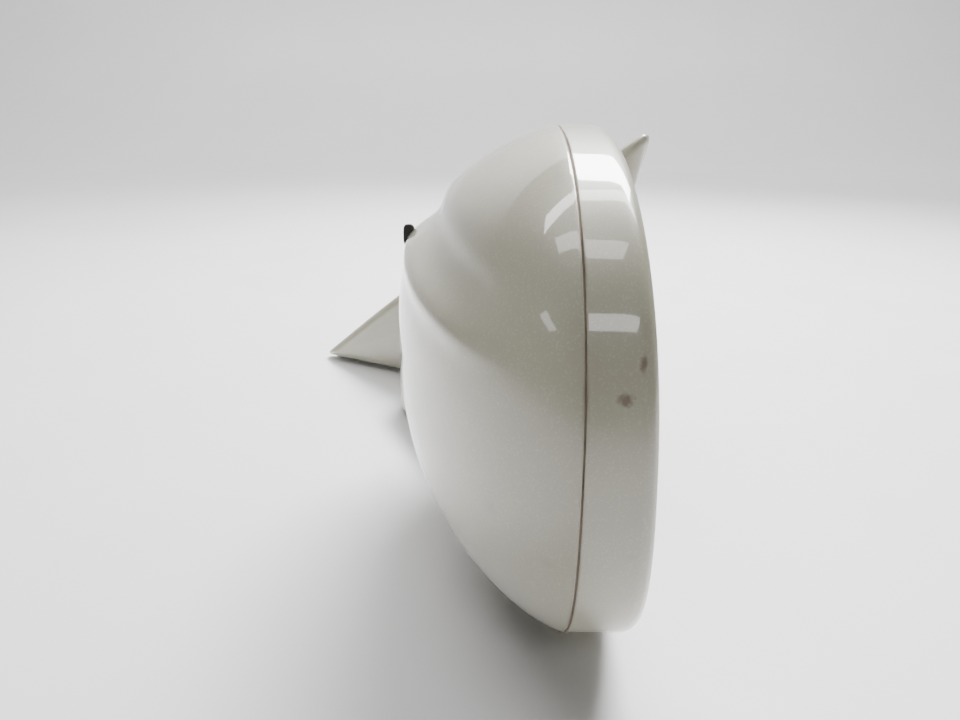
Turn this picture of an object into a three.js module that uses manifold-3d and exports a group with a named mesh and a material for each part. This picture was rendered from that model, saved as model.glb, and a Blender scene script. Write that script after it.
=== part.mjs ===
// Car door mirror, left-hand side, with a manually folding housing and electrically tilted, heated glass.
//
// Frame: millimetres. X points to the rear of the car, Y inboard to the door, Z up.
// The origin is the middle of the mounting face, so the door lies at Y = 0 and the mirror hangs outboard, at Y < 0.
//
// The housing and all that it carries are drawn in the housing's own frame, which is turned about Z by the sweep angle:
// x runs inboard along the parting plane of the two painted shells, y forward out of that plane, z up.
import * as THREE from "three";
import { ConvexGeometry } from "three/addons/geometries/ConvexGeometry.js";
import { mergeVertices } from "three/addons/utils/BufferGeometryUtils.js";
import Module from "manifold-3d";

const wasm = await Module();
wasm.setup();

// ---------- driving dimensions ----------

const gap = 0.3; // between pieces that touch
const wall = 2.5; // painted shells and covers

// housing outline, in the parting plane
const halfWidth = 105;
const halfHeight = 77.5;
const squareness = 2.4; // exponent of the superellipse: 2 is an ellipse
const bottomRise = 0.6; // share by which the bottom edge closes up towards the inboard end
const topFall = 0.1;
const sweep = THREE.MathUtils.degToRad(28.5); // of the parting plane, outboard end to the rear

// front shell
const domeDepth = 56;
const domeCentre = { x: 48, z: 2 };
const domeRound = 2.4;
const domeEdge = 1.4;
const seam = 0.7; // open line between the two shells
const shoulder = { z: 36.5, slope: 0.11, ridge: 2.2, ridgeWidth: 4.5, valley: 4, valleyWidth: 8, valleyRise: 11 };

// rim shell
const rimBand = { bottom: 20.5, top: 15 };
const lipRound = 4;
const lipInset = 8.2;
const lipDepth = 9;

// glass
const glassGap = 3.6; // between the rim's lip and the glass
const glassThickness = 2;
const glassBack = -8; // y of the glass's front-facing side
const heaterThickness = 0.5;
const holderThickness = 2.5;
const holderRelief = 1.5; // taken off its back where it swings towards the pivot
const tiltCentre = { x: -4, y: -1, z: 2 };

// housing frame
const frameFace = 13; // y of the frame plate's rear side
const frameThickness = 3;

// glass actuator
const caseRadius = 38;
const caseRear = 6; // y of the actuator's rear face
const caseDepth = 18;
const caseWall = 1.8;
const leverArm = 25; // from the tilt centre to each plunger
const plungerRadius = 2.6;
const ballRadius = 2.9;
const gearTeeth = 18;
const gearModule = 0.8;
const gearThickness = 3;
const wormPitchRadius = 3;
const motorRadius = 6;
const motorLength = 20;
const wormLength = 13;
const wormTurns = 4;

// sail: the triangular foot on the door
const sailCorners = [[-121, -50], [54, -50], [85, 96], [-56, 2]];
const sailRadii = [6, 9, 8, 60];
const sailDepth = 12;
const sailBevel = 6;
const gasketThickness = 3;
const gasketDrop = 2; // how far the gasket shows under the painted cover
const bracketThickness = 4;

// arm and pivot
const pivot = new THREE.Vector2(40.7, -74.7);
const pivotInset = 33; // from the housing's inboard end
const pivotDepth = 18; // forward of the parting plane
const armRadius = 27;
const armHalfWidth = 23;
const armShoulder = [-29, -56]; // where the front side turns towards the door
const armShoulderRound = 9;
const armFlare = THREE.MathUtils.degToRad(17);
const armBottom = -49;
const armTop = -25;
const collarRadius = 16.5;
const collarTop = 2;
const bossRadius = 13;
const bossTop = 8;
const shaftRadius = 6.6;
const shaftBore = 4.2;
const shaftTop = 55;
const pivotOpening = 18.4;
const washerThickness = 3;
const hubRadius = 12;
const hubThickness = 6;
const springWire = 1.2;
const springRadius = 10.2;
const springHeight = 26;

// screws
const screwRadius = 1.5;
const screwHead = 3;
const studRadius = 3;
const studLength = 22;
const studs = [[-62, -34], [46, -6], [56, 44]];
const coverScrews = [[-86, -38], [22, 28], [62, 62]];

// ---------- places worked out from them ----------

const floorZ = sailCorners[0][1] - gasketDrop;
const housingTurn = Math.PI / 2 + sweep;
const inboard = new THREE.Vector2(Math.cos(housingTurn), Math.sin(housingTurn));
const forward = new THREE.Vector2(-inboard.y, inboard.x);
const pivotInHousing = { x: halfWidth - pivotInset, y: pivotDepth };
const housingCentre = pivot.clone()
  .addScaledVector(inboard, -pivotInHousing.x)
  .addScaledVector(forward, -pivotInHousing.y);
const housingZ = floorZ + halfHeight;

const mirror = new THREE.Group();
const housing = new THREE.Group();
housing.rotation.z = housingTurn;
housing.position.set(housingCentre.x, housingCentre.y, housingZ);
mirror.add(housing);

// ---------- materials ----------

const finish = (color, roughness, metalness = 0) => new THREE.MeshStandardMaterial({ color, roughness, metalness });
const pearlPaint = finish(0xe4e1d6, 0.18);
const blackPlastic = finish(0x1c1c1d, 0.55);
const greyNylon = finish(0x34363a, 0.6);
const rubber = finish(0x141414, 0.85);
const steel = finish(0xa9adb0, 0.35, 1);
const dieCast = finish(0x9b9ea1, 0.5, 1);
const mirrorFace = finish(0xdfe4e8, 0.03, 1);
const heaterFoil = finish(0x7d5a2e, 0.5);
const acetal = finish(0xe9e6dc, 0.4);

// ---------- solids ----------

// A geometry as a manifold-3d solid.
function solid(geometry) {
  const bare = geometry.clone();
  for (const name of Object.keys(bare.attributes)) if (name !== "position") bare.deleteAttribute(name);
  const merged = mergeVertices(bare, 1e-4);
  return new wasm.Manifold(new wasm.Mesh({
    numProp: 3,
    vertProperties: merged.attributes.position.array,
    triVerts: new Uint32Array(merged.index.array),
  }));
}

function geometryOf(body) {
  const mesh = body.getMesh();
  return new THREE.BufferGeometry()
    .setAttribute("position", new THREE.BufferAttribute(mesh.vertProperties, 3))
    .setIndex(new THREE.BufferAttribute(mesh.triVerts, 1));
}

function add(parent, name, body, material) {
  const mesh = new THREE.Mesh(body.isBufferGeometry ? body : geometryOf(body), material);
  mesh.name = name;
  parent.add(mesh);
  return mesh;
}

// Closed rings of points, joined one to the next. The two end rings are closed by fans, or, on a tube, to each other.
function ringSolid(rings, isTube = false) {
  const n = rings[0].length;
  const points = rings.flat();
  const faces = [];
  const joins = isTube ? rings.length : rings.length - 1;
  for (let r = 0; r < joins; r++) {
    const a = r * n;
    const b = ((r + 1) % rings.length) * n;
    for (let i = 0; i < n; i++) {
      const j = (i + 1) % n;
      faces.push(a + i, a + j, b + j, a + i, b + j, b + i);
    }
  }
  if (!isTube) {
    for (const [start, flip] of [[0, true], [(rings.length - 1) * n, false]]) {
      const middle = new THREE.Vector3();
      for (let i = 0; i < n; i++) middle.addScaledVector(points[start + i], 1 / n);
      points.push(middle);
      for (let i = 0; i < n; i++) {
        const j = (i + 1) % n;
        faces.push(points.length - 1, ...(flip ? [start + j, start + i] : [start + i, start + j]));
      }
    }
  }
  const geometry = new THREE.BufferGeometry().setFromPoints(points).setIndex(faces);
  const body = solid(geometry);
  return body.volume() < 0 ? solid(geometry.setIndex(faces.reverse())) : body;
}

// An outline in x and z, extruded from y = start towards -y.
function plate(shape, start, depth, options = {}) {
  const geometry = new THREE.ExtrudeGeometry(shape, { depth, bevelEnabled: false, curveSegments: 6, ...options });
  return solid(geometry.rotateX(Math.PI / 2).translate(0, start, 0));
}

// An outline in x and y, extruded from z = start upwards.
const slab = (shape, start, depth, options = {}) => solid(
  new THREE.ExtrudeGeometry(shape, { depth, bevelEnabled: false, curveSegments: 7, ...options }).translate(0, 0, start),
);

const box = (x0, x1, y0, y1, z0, z1) => solid(
  new THREE.BoxGeometry(x1 - x0, y1 - y0, z1 - z0).translate((x0 + x1) / 2, (y0 + y1) / 2, (z0 + z1) / 2),
);

// Rods along y and along z, from one end to the other.
const rodY = (x, z, radius, y0, y1, sides = 14) => solid(
  new THREE.CylinderGeometry(radius, radius, y1 - y0, sides).translate(x, (y0 + y1) / 2, z),
);
const rodZ = (x, y, radius, z0, z1, sides = 24) => solid(
  new THREE.CylinderGeometry(radius, radius, z1 - z0, sides).rotateX(Math.PI / 2).translate(x, y, (z0 + z1) / 2),
);
const ringZ = (x, y, inner, outer, z0, z1, sides = 22) =>
  rodZ(x, y, outer, z0, z1, sides).subtract(rodZ(x, y, inner, z0 - 1, z1 + 1, sides));
const ringY = (x, z, inner, outer, y0, y1, sides = 24) =>
  rodY(x, z, outer, y0, y1, sides).subtract(rodY(x, z, inner, y0 - 1, y1 + 1, sides));

// A straight bar between two places in the x, z plane, from y0 to y1.
function strip(from, to, width, y0, y1) {
  const turn = Math.atan2(to.y - from.y, to.x - from.x);
  return solid(new THREE.BoxGeometry(from.distanceTo(to), y1 - y0, width).rotateY(-turn)
    .translate((from.x + to.x) / 2, (y0 + y1) / 2, (from.y + to.y) / 2));
}

// A corner list moved in by a distance, each side parallel to itself.
function insetCorners(corners, distance) {
  const n = corners.length;
  const sides = corners.map((p, i) => {
    const q = corners[(i + 1) % n];
    const length = Math.hypot(q[0] - p[0], q[1] - p[1]);
    const direction = [(q[0] - p[0]) / length, (q[1] - p[1]) / length];
    return { at: [p[0] - direction[1] * distance, p[1] + direction[0] * distance], direction };
  });
  return sides.map((side, i) => {
    const last = sides[(i + n - 1) % n];
    const cross = last.direction[0] * side.direction[1] - last.direction[1] * side.direction[0];
    const along = ((side.at[0] - last.at[0]) * side.direction[1] - (side.at[1] - last.at[1]) * side.direction[0]) / cross;
    return [last.at[0] + last.direction[0] * along, last.at[1] + last.direction[1] * along];
  });
}

// A polygon with rounded corners.
function roundedShape(corners, radii) {
  const shape = new THREE.Shape();
  const points = corners.map((p) => new THREE.Vector2(...p));
  points.forEach((corner, i) => {
    const before = points[(i + points.length - 1) % points.length];
    const after = points[(i + 1) % points.length];
    const reach = Math.min(radii[i], corner.distanceTo(before) * 0.45, corner.distanceTo(after) * 0.45);
    const start = corner.clone().lerp(before, reach / corner.distanceTo(before));
    const end = corner.clone().lerp(after, reach / corner.distanceTo(after));
    if (i) shape.lineTo(start.x, start.y);
    else shape.moveTo(start.x, start.y);
    shape.quadraticCurveTo(corner.x, corner.y, end.x, end.y);
  });
  shape.closePath();
  return shape;
}

// ---------- the housing's outline and surfaces ----------

const clampUnit = (v) => Math.min(1, Math.max(0, v));
const smooth = (v) => clampUnit(v) ** 2 * (3 - 2 * clampUnit(v));
const signedPower = (v, power) => Math.sign(v) * Math.abs(v) ** power;

// Superellipse whose lower and upper halves close up towards the inboard end.
function outlineAt(angle) {
  const x = halfWidth * signedPower(Math.cos(angle), 2 / squareness);
  const z = halfHeight * signedPower(Math.sin(angle), 2 / squareness);
  const close = (z < 0 ? bottomRise : topFall) * smooth((x / halfWidth + 0.15) / 1.15);
  return new THREE.Vector2(x, z * (1 - close));
}

// The outline moved in by a distance, square to itself.
function outlineInset(angle, inset) {
  const step = 1e-3;
  const tangent = outlineAt(angle + step).sub(outlineAt(angle - step)).normalize();
  const at = outlineAt(angle);
  return new THREE.Vector2(at.x - tangent.y * inset, at.y + tangent.x * inset);
}

// Evenly spread angles round the outline, half a step on from the x axis.
const outlineAngles = (count) => Array.from({ length: count }, (_, i) => ((i + 0.5) / count) * 2 * Math.PI);

// The outline moved in, without the points that a tight bend would carry past each other.
function insetOutline(inset, count = 48) {
  const edge = outlineAngles(4 * count).map(outlineAt);
  const isClear = (p) => edge.every((q) => q.distanceTo(p) > inset - 0.02);
  return outlineAngles(count).map((angle) => outlineInset(angle, inset)).filter(isClear);
}

const outlineShape = (inset) => new THREE.Shape(insetOutline(inset));

// Where a ring stands between the dome's centre (0) and its edge (1), at a given depth.
const ringAtDepth = (y) => (1 - (y / domeDepth) ** domeEdge) ** (1 / domeRound);

// The character line: a rounded shoulder that runs along the front, with a shallow valley above it.
function shoulderLift(x, z, ring) {
  const above = z - (shoulder.z + shoulder.slope * Math.min(x, 0));
  const fade = smooth((x + 95) / 30) * (1 - ring ** 8);
  const ridge = shoulder.ridge * Math.exp(-((above / shoulder.ridgeWidth) ** 2));
  const valley = shoulder.valley * Math.exp(-(((above - shoulder.valleyRise) / shoulder.valleyWidth) ** 2));
  return fade * (ridge - valley);
}

// A ring of the dome, moved in by a wall thickness.
function domeRing(ring, thickness, count) {
  return outlineAngles(count).map((angle) => {
    const edge = outlineInset(angle, thickness);
    const x = domeCentre.x + (edge.x - domeCentre.x) * ring;
    const z = domeCentre.z + (edge.y - domeCentre.z) * ring;
    const y = (domeDepth - thickness) * (1 - ring ** domeRound) ** (1 / domeEdge) + shoulderLift(x, z, ring);
    return new THREE.Vector3(x, y, z);
  });
}

// The dome as a solid from a flat base at y = base.
function dome(thickness, base, rings, count) {
  const list = [];
  for (let i = 1; i <= rings; i++) list.push(domeRing(Math.sin((i / rings) * Math.PI / 2), thickness, count));
  list.push(list.at(-1).map((p) => new THREE.Vector3(p.x, base, p.z)));
  return ringSolid(list);
}

// ---------- painted shells ----------

const frontBosses = [[-62, 3], [-30, -40], [34, 34]]; // x, z of the front shell's screw bosses
const rimPosts = [1.2, 2, 4.25, 5]; // angles round the outline
const rimPostInset = 9.6; // outside the glass, inside the front shell
const rimScrewInset = 18;

function frontShell() {
  const outer = dome(0, -1, 10, 48);
  const inner = dome(wall, -1, 8, 36);
  const core = dome(wall / 2, -1, 8, 36);
  let shell = outer.subtract(inner).subtract(box(-200, 200, -10, seam / 2, -200, 200));
  for (const [x, z] of frontBosses) {
    shell = shell.add(rodY(x, z, screwHead, frameFace + frameThickness + gap, domeDepth, 10).intersect(core));
  }
  for (const [x, z] of frontBosses) {
    shell = shell.subtract(rodY(x, z, screwRadius + gap, frameFace, frameFace + frameThickness + 9, 10));
  }
  shell = shell.subtract(rodZ(pivotInHousing.x, pivotInHousing.y, pivotOpening, -halfHeight, -2));
  add(housing, "front_shell", shell, pearlPaint);
}

// The rim's section, as inset and y, for one place round the outline.
function rimSection(band) {
  const r = lipRound;
  return [
    [0, -seam / 2], [0, -(band - r - 1)], [0.12 * r, -(band - 0.5 * r)], [0.45 * r, -(band - 0.14 * r)],
    [r, -band], [0.85 * lipInset, -(band - 0.2 * r)], [lipInset, -(band - lipDepth)],
    [lipInset - wall, -(band - lipDepth)], [lipInset - wall - 0.6, -(band - wall - 0.4 * r)],
    [wall, -(band - wall - 0.4 * r)], [wall, -seam / 2],
  ];
}

const bandAt = (z) => rimBand.bottom + (rimBand.top - rimBand.bottom) * (z + halfHeight) / (2 * halfHeight);

function rimShell() {
  const rings = outlineAngles(48).map((angle) => rimSection(bandAt(outlineAt(angle).y)).map(([inset, y]) => {
    const at = outlineInset(angle, inset);
    return new THREE.Vector3(at.x, y, at.y);
  }));
  let shell = ringSolid(rings, true);
  for (const angle of rimPosts) {
    const wallAt = outlineInset(angle, wall / 2);
    const post = outlineInset(angle, rimPostInset);
    const hole = outlineInset(angle, rimScrewInset);
    const top = frameFace - gap;
    shell = shell.add(strip(wallAt, post, 5, -9, -6));
    shell = shell.add(strip(outlineInset(angle, rimPostInset - 0.5), outlineInset(angle, rimPostInset + 0.9), 4, -9, top));
    shell = shell.add(strip(post, hole, 4, top - 2.8, top)).add(rodY(hole.x, hole.y, 4, top - 2.8, top, 12));
    shell = shell.subtract(rodY(hole.x, hole.y, screwRadius + gap, top - 5, top + 1, 8));
  }
  add(housing, "rim_shell", shell, pearlPaint);
}

function seamSeal() {
  const ring = plate(outlineShape(wall + 3 * gap), 1.2, 6);
  add(housing, "seam_seal", ring.subtract(plate(outlineShape(wall + 3 * gap + 1.3), 3, 10)), rubber);
}

function foldBumper() {
  const at = { x: 27, z: 37 };
  const blank = rodY(at.x, at.z - 3, 2, 30, 75, 12).add(box(at.x - 1.2, at.x + 1.2, 30, 75, at.z - 3, at.z + 4));
  const pad = blank.intersect(dome(-2.2, -1, 10, 48)).subtract(dome(-gap, -1, 10, 48));
  add(housing, "fold_bumper", pad, rubber);
}

// ---------- housing frame ----------

const frameRing = ringAtDepth(frameFace + frameThickness);

// The frame's outline: the dome's ring at the frame's depth, clear of the front shell's wall.
function frameOutline(extra, count = 40) {
  return insetOutline(wall + gap + 2.6 + extra, count).map((edge) => new THREE.Vector2(
    domeCentre.x + (edge.x - domeCentre.x) * frameRing,
    domeCentre.z + (edge.y - domeCentre.z) * frameRing,
  ));
}

const caseCentre = { x: tiltCentre.x, z: tiltCentre.z };
const earAngles = [0.5, 2.6, 4.7];
const earReach = caseRadius + 5;
const earSpots = earAngles.map((a) => [caseCentre.x + earReach * Math.cos(a), caseCentre.z + earReach * Math.sin(a)]);
const rimPostSpots = rimPosts.map((a) => outlineInset(a, rimScrewInset)).map((p) => [p.x, p.y]);

function housingFrame() {
  const top = frameFace + frameThickness;
  let frame = plate(new THREE.Shape(frameOutline(0)), top, frameThickness);
  frame = frame.subtract(rodY(caseCentre.x, caseCentre.z, caseRadius + 1, 0, 40, 32));
  const window = plate(new THREE.Shape(frameOutline(8)), top + 1, frameThickness + 2)
    .subtract(rodY(caseCentre.x, caseCentre.z, caseRadius + 10, 0, 40, 24))
    .subtract(box(-120, 120, 0, 40, caseCentre.z - 5, caseCentre.z + 5))
    .subtract(box(pivotInHousing.x - 26, 120, 0, 40, -halfHeight, halfHeight));
  frame = frame.subtract(window);
  for (const [x, z] of rimPostSpots) frame = frame.add(rodY(x, z, 4.5, frameFace, top, 10));
  frame = frame.subtract(box(pivotInHousing.x - hubCheek, pivotInHousing.x + hubCheek, 0, 40, -halfHeight, clipBottom + 6));
  for (const [x, z] of frontBosses) frame = frame.add(rodY(x, z, 5, frameFace, top, 10));
  const collar = ringY(caseCentre.x, caseCentre.z, caseRadius + 1, caseRadius + 3, top - 1, top + 8, 32);
  frame = frame.add(collar);
  frame = frame.subtract(box(pivotInHousing.x - 18, pivotInHousing.x + 18, 0, 40, -halfHeight, hubBottom - 1));
  frame = frame.add(hub());
  for (const [x, z] of [...frontBosses, ...rimPostSpots, ...earSpots]) {
    frame = frame.subtract(rodY(x, z, screwRadius + gap, 5, top + 1, 7));
  }
  add(housing, "housing_frame", frame, greyNylon);
}

const hubBottom = bossTop - housingZ + 2 * washerThickness + 3 * gap;
const hubTop = hubBottom + hubThickness;
const hubCheek = hubRadius + 1; // half the slot between the hub's two side walls
const clipBottom = hubTop + springHeight + washerThickness + 3 * gap;

// The bearing hub that turns on the pivot shaft, and the webs that carry it.
function hub() {
  const { x, y } = pivotInHousing;
  const reach = hubCheek + 1.5;
  let body = rodZ(x, y, hubRadius, hubBottom, hubTop, 24);
  body = body.add(box(x - reach, x + reach, y - 8, y + 5, hubBottom, hubTop));
  for (const side of [-1, 1]) {
    const middle = x + side * (hubCheek + 1.25);
    body = body.add(box(middle - 1.25, middle + 1.25, frameFace, y + 2, hubBottom, clipBottom + 3));
  }
  return body.subtract(rodZ(x, y, shaftRadius + 0.6, hubBottom - 1, hubTop + 1, 24));
}

// ---------- glass and its drive ----------

const glassInset = lipInset + glassGap;
const holderBack = glassBack + heaterThickness + 2 * gap;

function glassParts() {
  add(housing, "mirror_glass", plate(outlineShape(glassInset), glassBack, glassThickness), mirrorFace);
  const heater = plate(outlineShape(glassInset + 2.6), glassBack + gap + heaterThickness, heaterThickness);
  add(housing, "heater_pad", heater, heaterFoil);
  let holder = plate(outlineShape(glassInset + 0.8), holderBack + holderThickness, holderThickness);
  const { x, y, z } = tiltCentre;
  for (const [dx, dz] of [[0, -leverArm], [-leverArm, 0]]) {
    holder = holder.add(ringY(x + dx, z + dz, ballRadius + 1, ballRadius + 2.6, holderBack + holderThickness - 0.5, y + 1.5, 16));
  }
  for (const side of [-1, 1]) {
    const from = Math.min(side * 4.5, side * 6.5);
    const lug = box(x - 2.6, x + 2.6, holderBack + 1, y, z + from, z + from + 2)
      .add(rodZ(x, y, 2.6, z + from, z + from + 2, 12));
    holder = holder.add(lug);
  }
  holder = holder.subtract(rodZ(x, y, 1.9, z - 8, z + 8, 12));
  const from = pivotInHousing.x - hubRadius - 4;
  const relief = box(from, halfWidth, holderBack + holderThickness - holderRelief, y, -halfHeight, halfHeight);
  add(housing, "glass_holder", holder.subtract(relief), blackPlastic);
}

function tiltCross() {
  const { x, y, z } = tiltCentre;
  const pin = rodZ(0, 0, 1.6, -7, 7, 12);
  const across = pin.rotate([0, 90, 0]);
  const middle = solid(new THREE.SphereGeometry(2.8, 10, 6));
  add(housing, "tilt_cross", pin.add(across).add(middle).translate([x, y, z]), steel);
}

const gearPitchRadius = gearModule * gearTeeth / 2;
const wormOffset = gearPitchRadius + wormPitchRadius;
const gearFace = caseRear + caseWall + 5.5;
const wormAxisY = gearFace + gearThickness / 2;

// Two case halves, split across the worm axes, with the fork for the tilt cross on the rear half.
function actuatorCase() {
  const { x, y, z } = tiltCentre;
  const split = caseRear + caseDepth / 2;
  const cup = (y0, y1, in0, in1) =>
    rodY(x, z, caseRadius, y0, y1, 32).subtract(rodY(x, z, caseRadius - caseWall, in0, in1, 32));
  let rear = cup(caseRear, split, caseRear + caseWall, split + 1);
  for (const [dx, dz] of [[0, -leverArm], [-leverArm, 0]]) {
    rear = rear.subtract(rodY(x + dx, z + dz, ballRadius + 1, caseRear - 1, caseRear + caseWall + 1, 12));
  }
  for (const side of [-1, 1]) {
    const from = Math.min(side * 4.5, side * 6.5);
    rear = rear.add(box(x + from, x + from + 2, y, caseRear + 1, z - 2.2, z + 2.2));
    rear = rear.add(rodZ(0, 0, 2.2, 0, 2, 12).rotate([0, 90, 0]).translate([x + from, y, z]));
  }
  rear = rear.subtract(rodZ(0, 0, 1.9, -8, 8, 12).rotate([0, 90, 0]).translate([x, y, z]));
  for (const [earX, earZ] of earSpots) {
    const ear = rodY(earX, earZ, 4.6, frameFace - gap - 2.2, frameFace - gap, 14)
      .add(rodY(x + (earX - x) * 0.86, z + (earZ - z) * 0.86, 5.5, frameFace - gap - 2.2, frameFace - gap, 14))
      .subtract(rodY(x, z, caseRadius - caseWall, 0, 40, 32));
    rear = rear.add(ear).subtract(rodY(earX, earZ, screwRadius + gap, 0, 40, 10));
  }
  add(housing, "actuator_case_rear", rear, blackPlastic);
  const front = cup(split + gap, caseRear + caseDepth, split - 1, caseRear + caseDepth - caseWall);
  add(housing, "actuator_case_front", front, blackPlastic);
}

// A worm wheel with straight teeth.
function gearShape() {
  const shape = new THREE.Shape();
  const root = gearPitchRadius - 1.15 * gearModule;
  const tip = gearPitchRadius + 0.85 * gearModule;
  const pitch = (2 * Math.PI) / gearTeeth;
  for (let i = 0; i < gearTeeth; i++) {
    for (const [share, radius] of [[-0.3, root], [-0.14, tip], [0.14, tip], [0.3, root]]) {
      const angle = (i + share) * pitch;
      const at = [radius * Math.cos(angle), radius * Math.sin(angle)];
      if (shape.curves.length || i || share > -0.3) shape.lineTo(...at);
      else shape.moveTo(...at);
    }
  }
  shape.closePath();
  return shape;
}

// A worm on its motor shaft: a single thread wound round a core, along z.
function wormBody(length) {
  const lead = Math.PI * gearModule;
  const steps = 7;
  const root = wormPitchRadius - 1.2 * gearModule;
  const tip = wormPitchRadius + 0.8 * gearModule;
  const rings = [];
  for (let i = 0; i <= wormTurns * steps; i++) {
    const angle = (i / steps) * 2 * Math.PI;
    const rise = (i / steps) * lead - (wormTurns * lead) / 2;
    const at = (radius, offset) =>
      new THREE.Vector3(radius * Math.cos(angle), radius * Math.sin(angle), rise + offset);
    rings.push([at(root - 0.4, -0.62), at(tip, -0.25), at(tip, 0.25), at(root - 0.4, 0.62)]);
  }
  return ringSolid(rings).add(rodZ(0, 0, root, -length / 2, length / 2, 10));
}

// One motor, worm wheel and plunger. The drawing is for the plunger under the tilt centre; the other is it turned.
function drive(name, turn, side) {
  const unit = new THREE.Group();
  unit.position.set(tiltCentre.x, 0, tiltCentre.z);
  unit.rotation.y = turn;
  housing.add(unit);
  const ball = solid(new THREE.SphereGeometry(ballRadius, 10, 7).translate(0, tiltCentre.y, -leverArm));
  const rod = rodY(0, -leverArm, plungerRadius, tiltCentre.y, caseRear + caseDepth - caseWall - 4.2, 20);
  add(unit, `plunger_${name}`, ball.add(rod), acetal);
  const wheel = plate(gearShape(), gearThickness, gearThickness)
    .subtract(rodY(0, 0, plungerRadius + gap, -1, gearThickness + 1, 20));
  add(unit, `worm_wheel_${name}`, geometryOf(wheel.translate([0, gearFace, -leverArm])), acetal);
  const shaftStart = -leverArm + wormLength / 2;
  const can = rodZ(0, 0, motorRadius, 0, motorLength, 24)
    .add(rodZ(0, 0, 2.4, -1, 1, 16));
  add(unit, `motor_${name}`, can.translate([side * wormOffset, wormAxisY, shaftStart + 1.4]), steel);
  const worm = wormBody(wormLength).rotate([0, 0, side > 0 ? 0 : 180]);
  add(unit, `worm_${name}`, worm.translate([side * wormOffset, wormAxisY, -leverArm]), steel);
}

// ---------- foot: gasket, bracket, cover and arm ----------

const insetSail = (distance) =>
  roundedShape(insetCorners(sailCorners, distance), sailRadii.map((r) => Math.max(2, r - distance)));

function gasket() {
  const dropped = sailCorners.map(([x, z], i) => [x, z - (i < 2 ? gasketDrop : 0)]);
  const outer = roundedShape(insetCorners(dropped, 1.2), sailRadii);
  const ring = plate(outer, 0, gasketThickness).subtract(plate(insetSail(6), 1, gasketThickness + 2));
  add(mirror, "door_gasket", ring, rubber);
}

// The arm's plan: a round end on the pivot, a straight rear side, and a front side that flares towards the door.
function armShape(inset, reach) {
  const radius = armRadius - inset;
  const half = armHalfWidth - inset;
  const shoulder = new THREE.Vector2(...armShoulder);
  const toShoulder = shoulder.clone().sub(pivot);
  const touch = toShoulder.angle() + Math.acos(armRadius / toShoulder.length()) - 2 * Math.PI;
  const n = new THREE.Vector2(Math.cos(touch), Math.sin(touch));
  const front = new THREE.Vector2(-Math.cos(armFlare), -Math.sin(armFlare));
  // The corner where the two sides meet: n . p = radius from the pivot, front . p = -inset from the shoulder.
  const a = n.dot(pivot) + radius;
  const b = front.dot(shoulder) - inset;
  const cross = n.x * front.y - n.y * front.x;
  const corner = new THREE.Vector2((a * front.y - b * n.y) / cross, (b * n.x - a * front.x) / cross);
  const foot = new THREE.Vector2((b - front.y * reach) / front.x, reach);
  const start = Math.PI / 2 - Math.asin(half / radius);
  const outer = new THREE.Vector2(pivot.x + radius * n.x, pivot.y + radius * n.y);
  const into = corner.clone().lerp(outer, armShoulderRound / corner.distanceTo(outer));
  const out = corner.clone().lerp(foot, armShoulderRound / corner.distanceTo(foot));
  const shape = new THREE.Shape();
  shape.moveTo(pivot.x + half, reach);
  shape.lineTo(pivot.x + half, pivot.y + radius * Math.sin(start));
  shape.absarc(pivot.x, pivot.y, radius, start, touch, true);
  shape.lineTo(into.x, into.y);
  shape.quadraticCurveTo(corner.x, corner.y, out.x, out.y);
  shape.lineTo(foot.x, foot.y);
  shape.closePath();
  return shape;
}

const bracketFace = -(gasketThickness + gap);
const bracketOuter = bracketFace - bracketThickness;
const lidThickness = 2.2;
const flangeThickness = 3;
const armCoreBottom = armBottom + lidThickness + flangeThickness + 2 * gap;

function baseBracket() {
  let body = plate(insetSail(wall + 2), bracketFace, bracketThickness);
  for (const [x, z] of studs) body = body.add(rodY(x, z, 8, bracketOuter, -gap, 14));
  body = body.add(box(-14, 14, bracketOuter, 0, -9, 9));
  body = body.add(slab(armShape(wall + gap, bracketFace), armCoreBottom, armTop - wall - gap - armCoreBottom));
  const hollow = slab(armShape(wall + gap + 4, bracketOuter - 2), armCoreBottom - 1, armTop - wall - gap - armCoreBottom - 3);
  body = body.subtract(hollow).add(rodZ(pivot.x, pivot.y, bossRadius, armCoreBottom, bossTop));
  body = body.subtract(rodZ(pivot.x, pivot.y, shaftRadius + gap, armCoreBottom - 1, bossTop + 1));
  const duct = box(pivot.x - 7, pivot.x + 7, pivot.y + 11, 1, armCoreBottom - 1, armCoreBottom + 13);
  body = body.subtract(duct);
  for (const [x, z] of studs) body = body.subtract(rodY(x, z, studRadius + gap, bracketOuter - 1, 1, 10));
  for (const [x, z] of coverScrews) body = body.subtract(rodY(x, z, screwRadius + gap, bracketOuter - 1, 1, 8));
  add(mirror, "base_bracket", body, dieCast);
}


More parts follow.
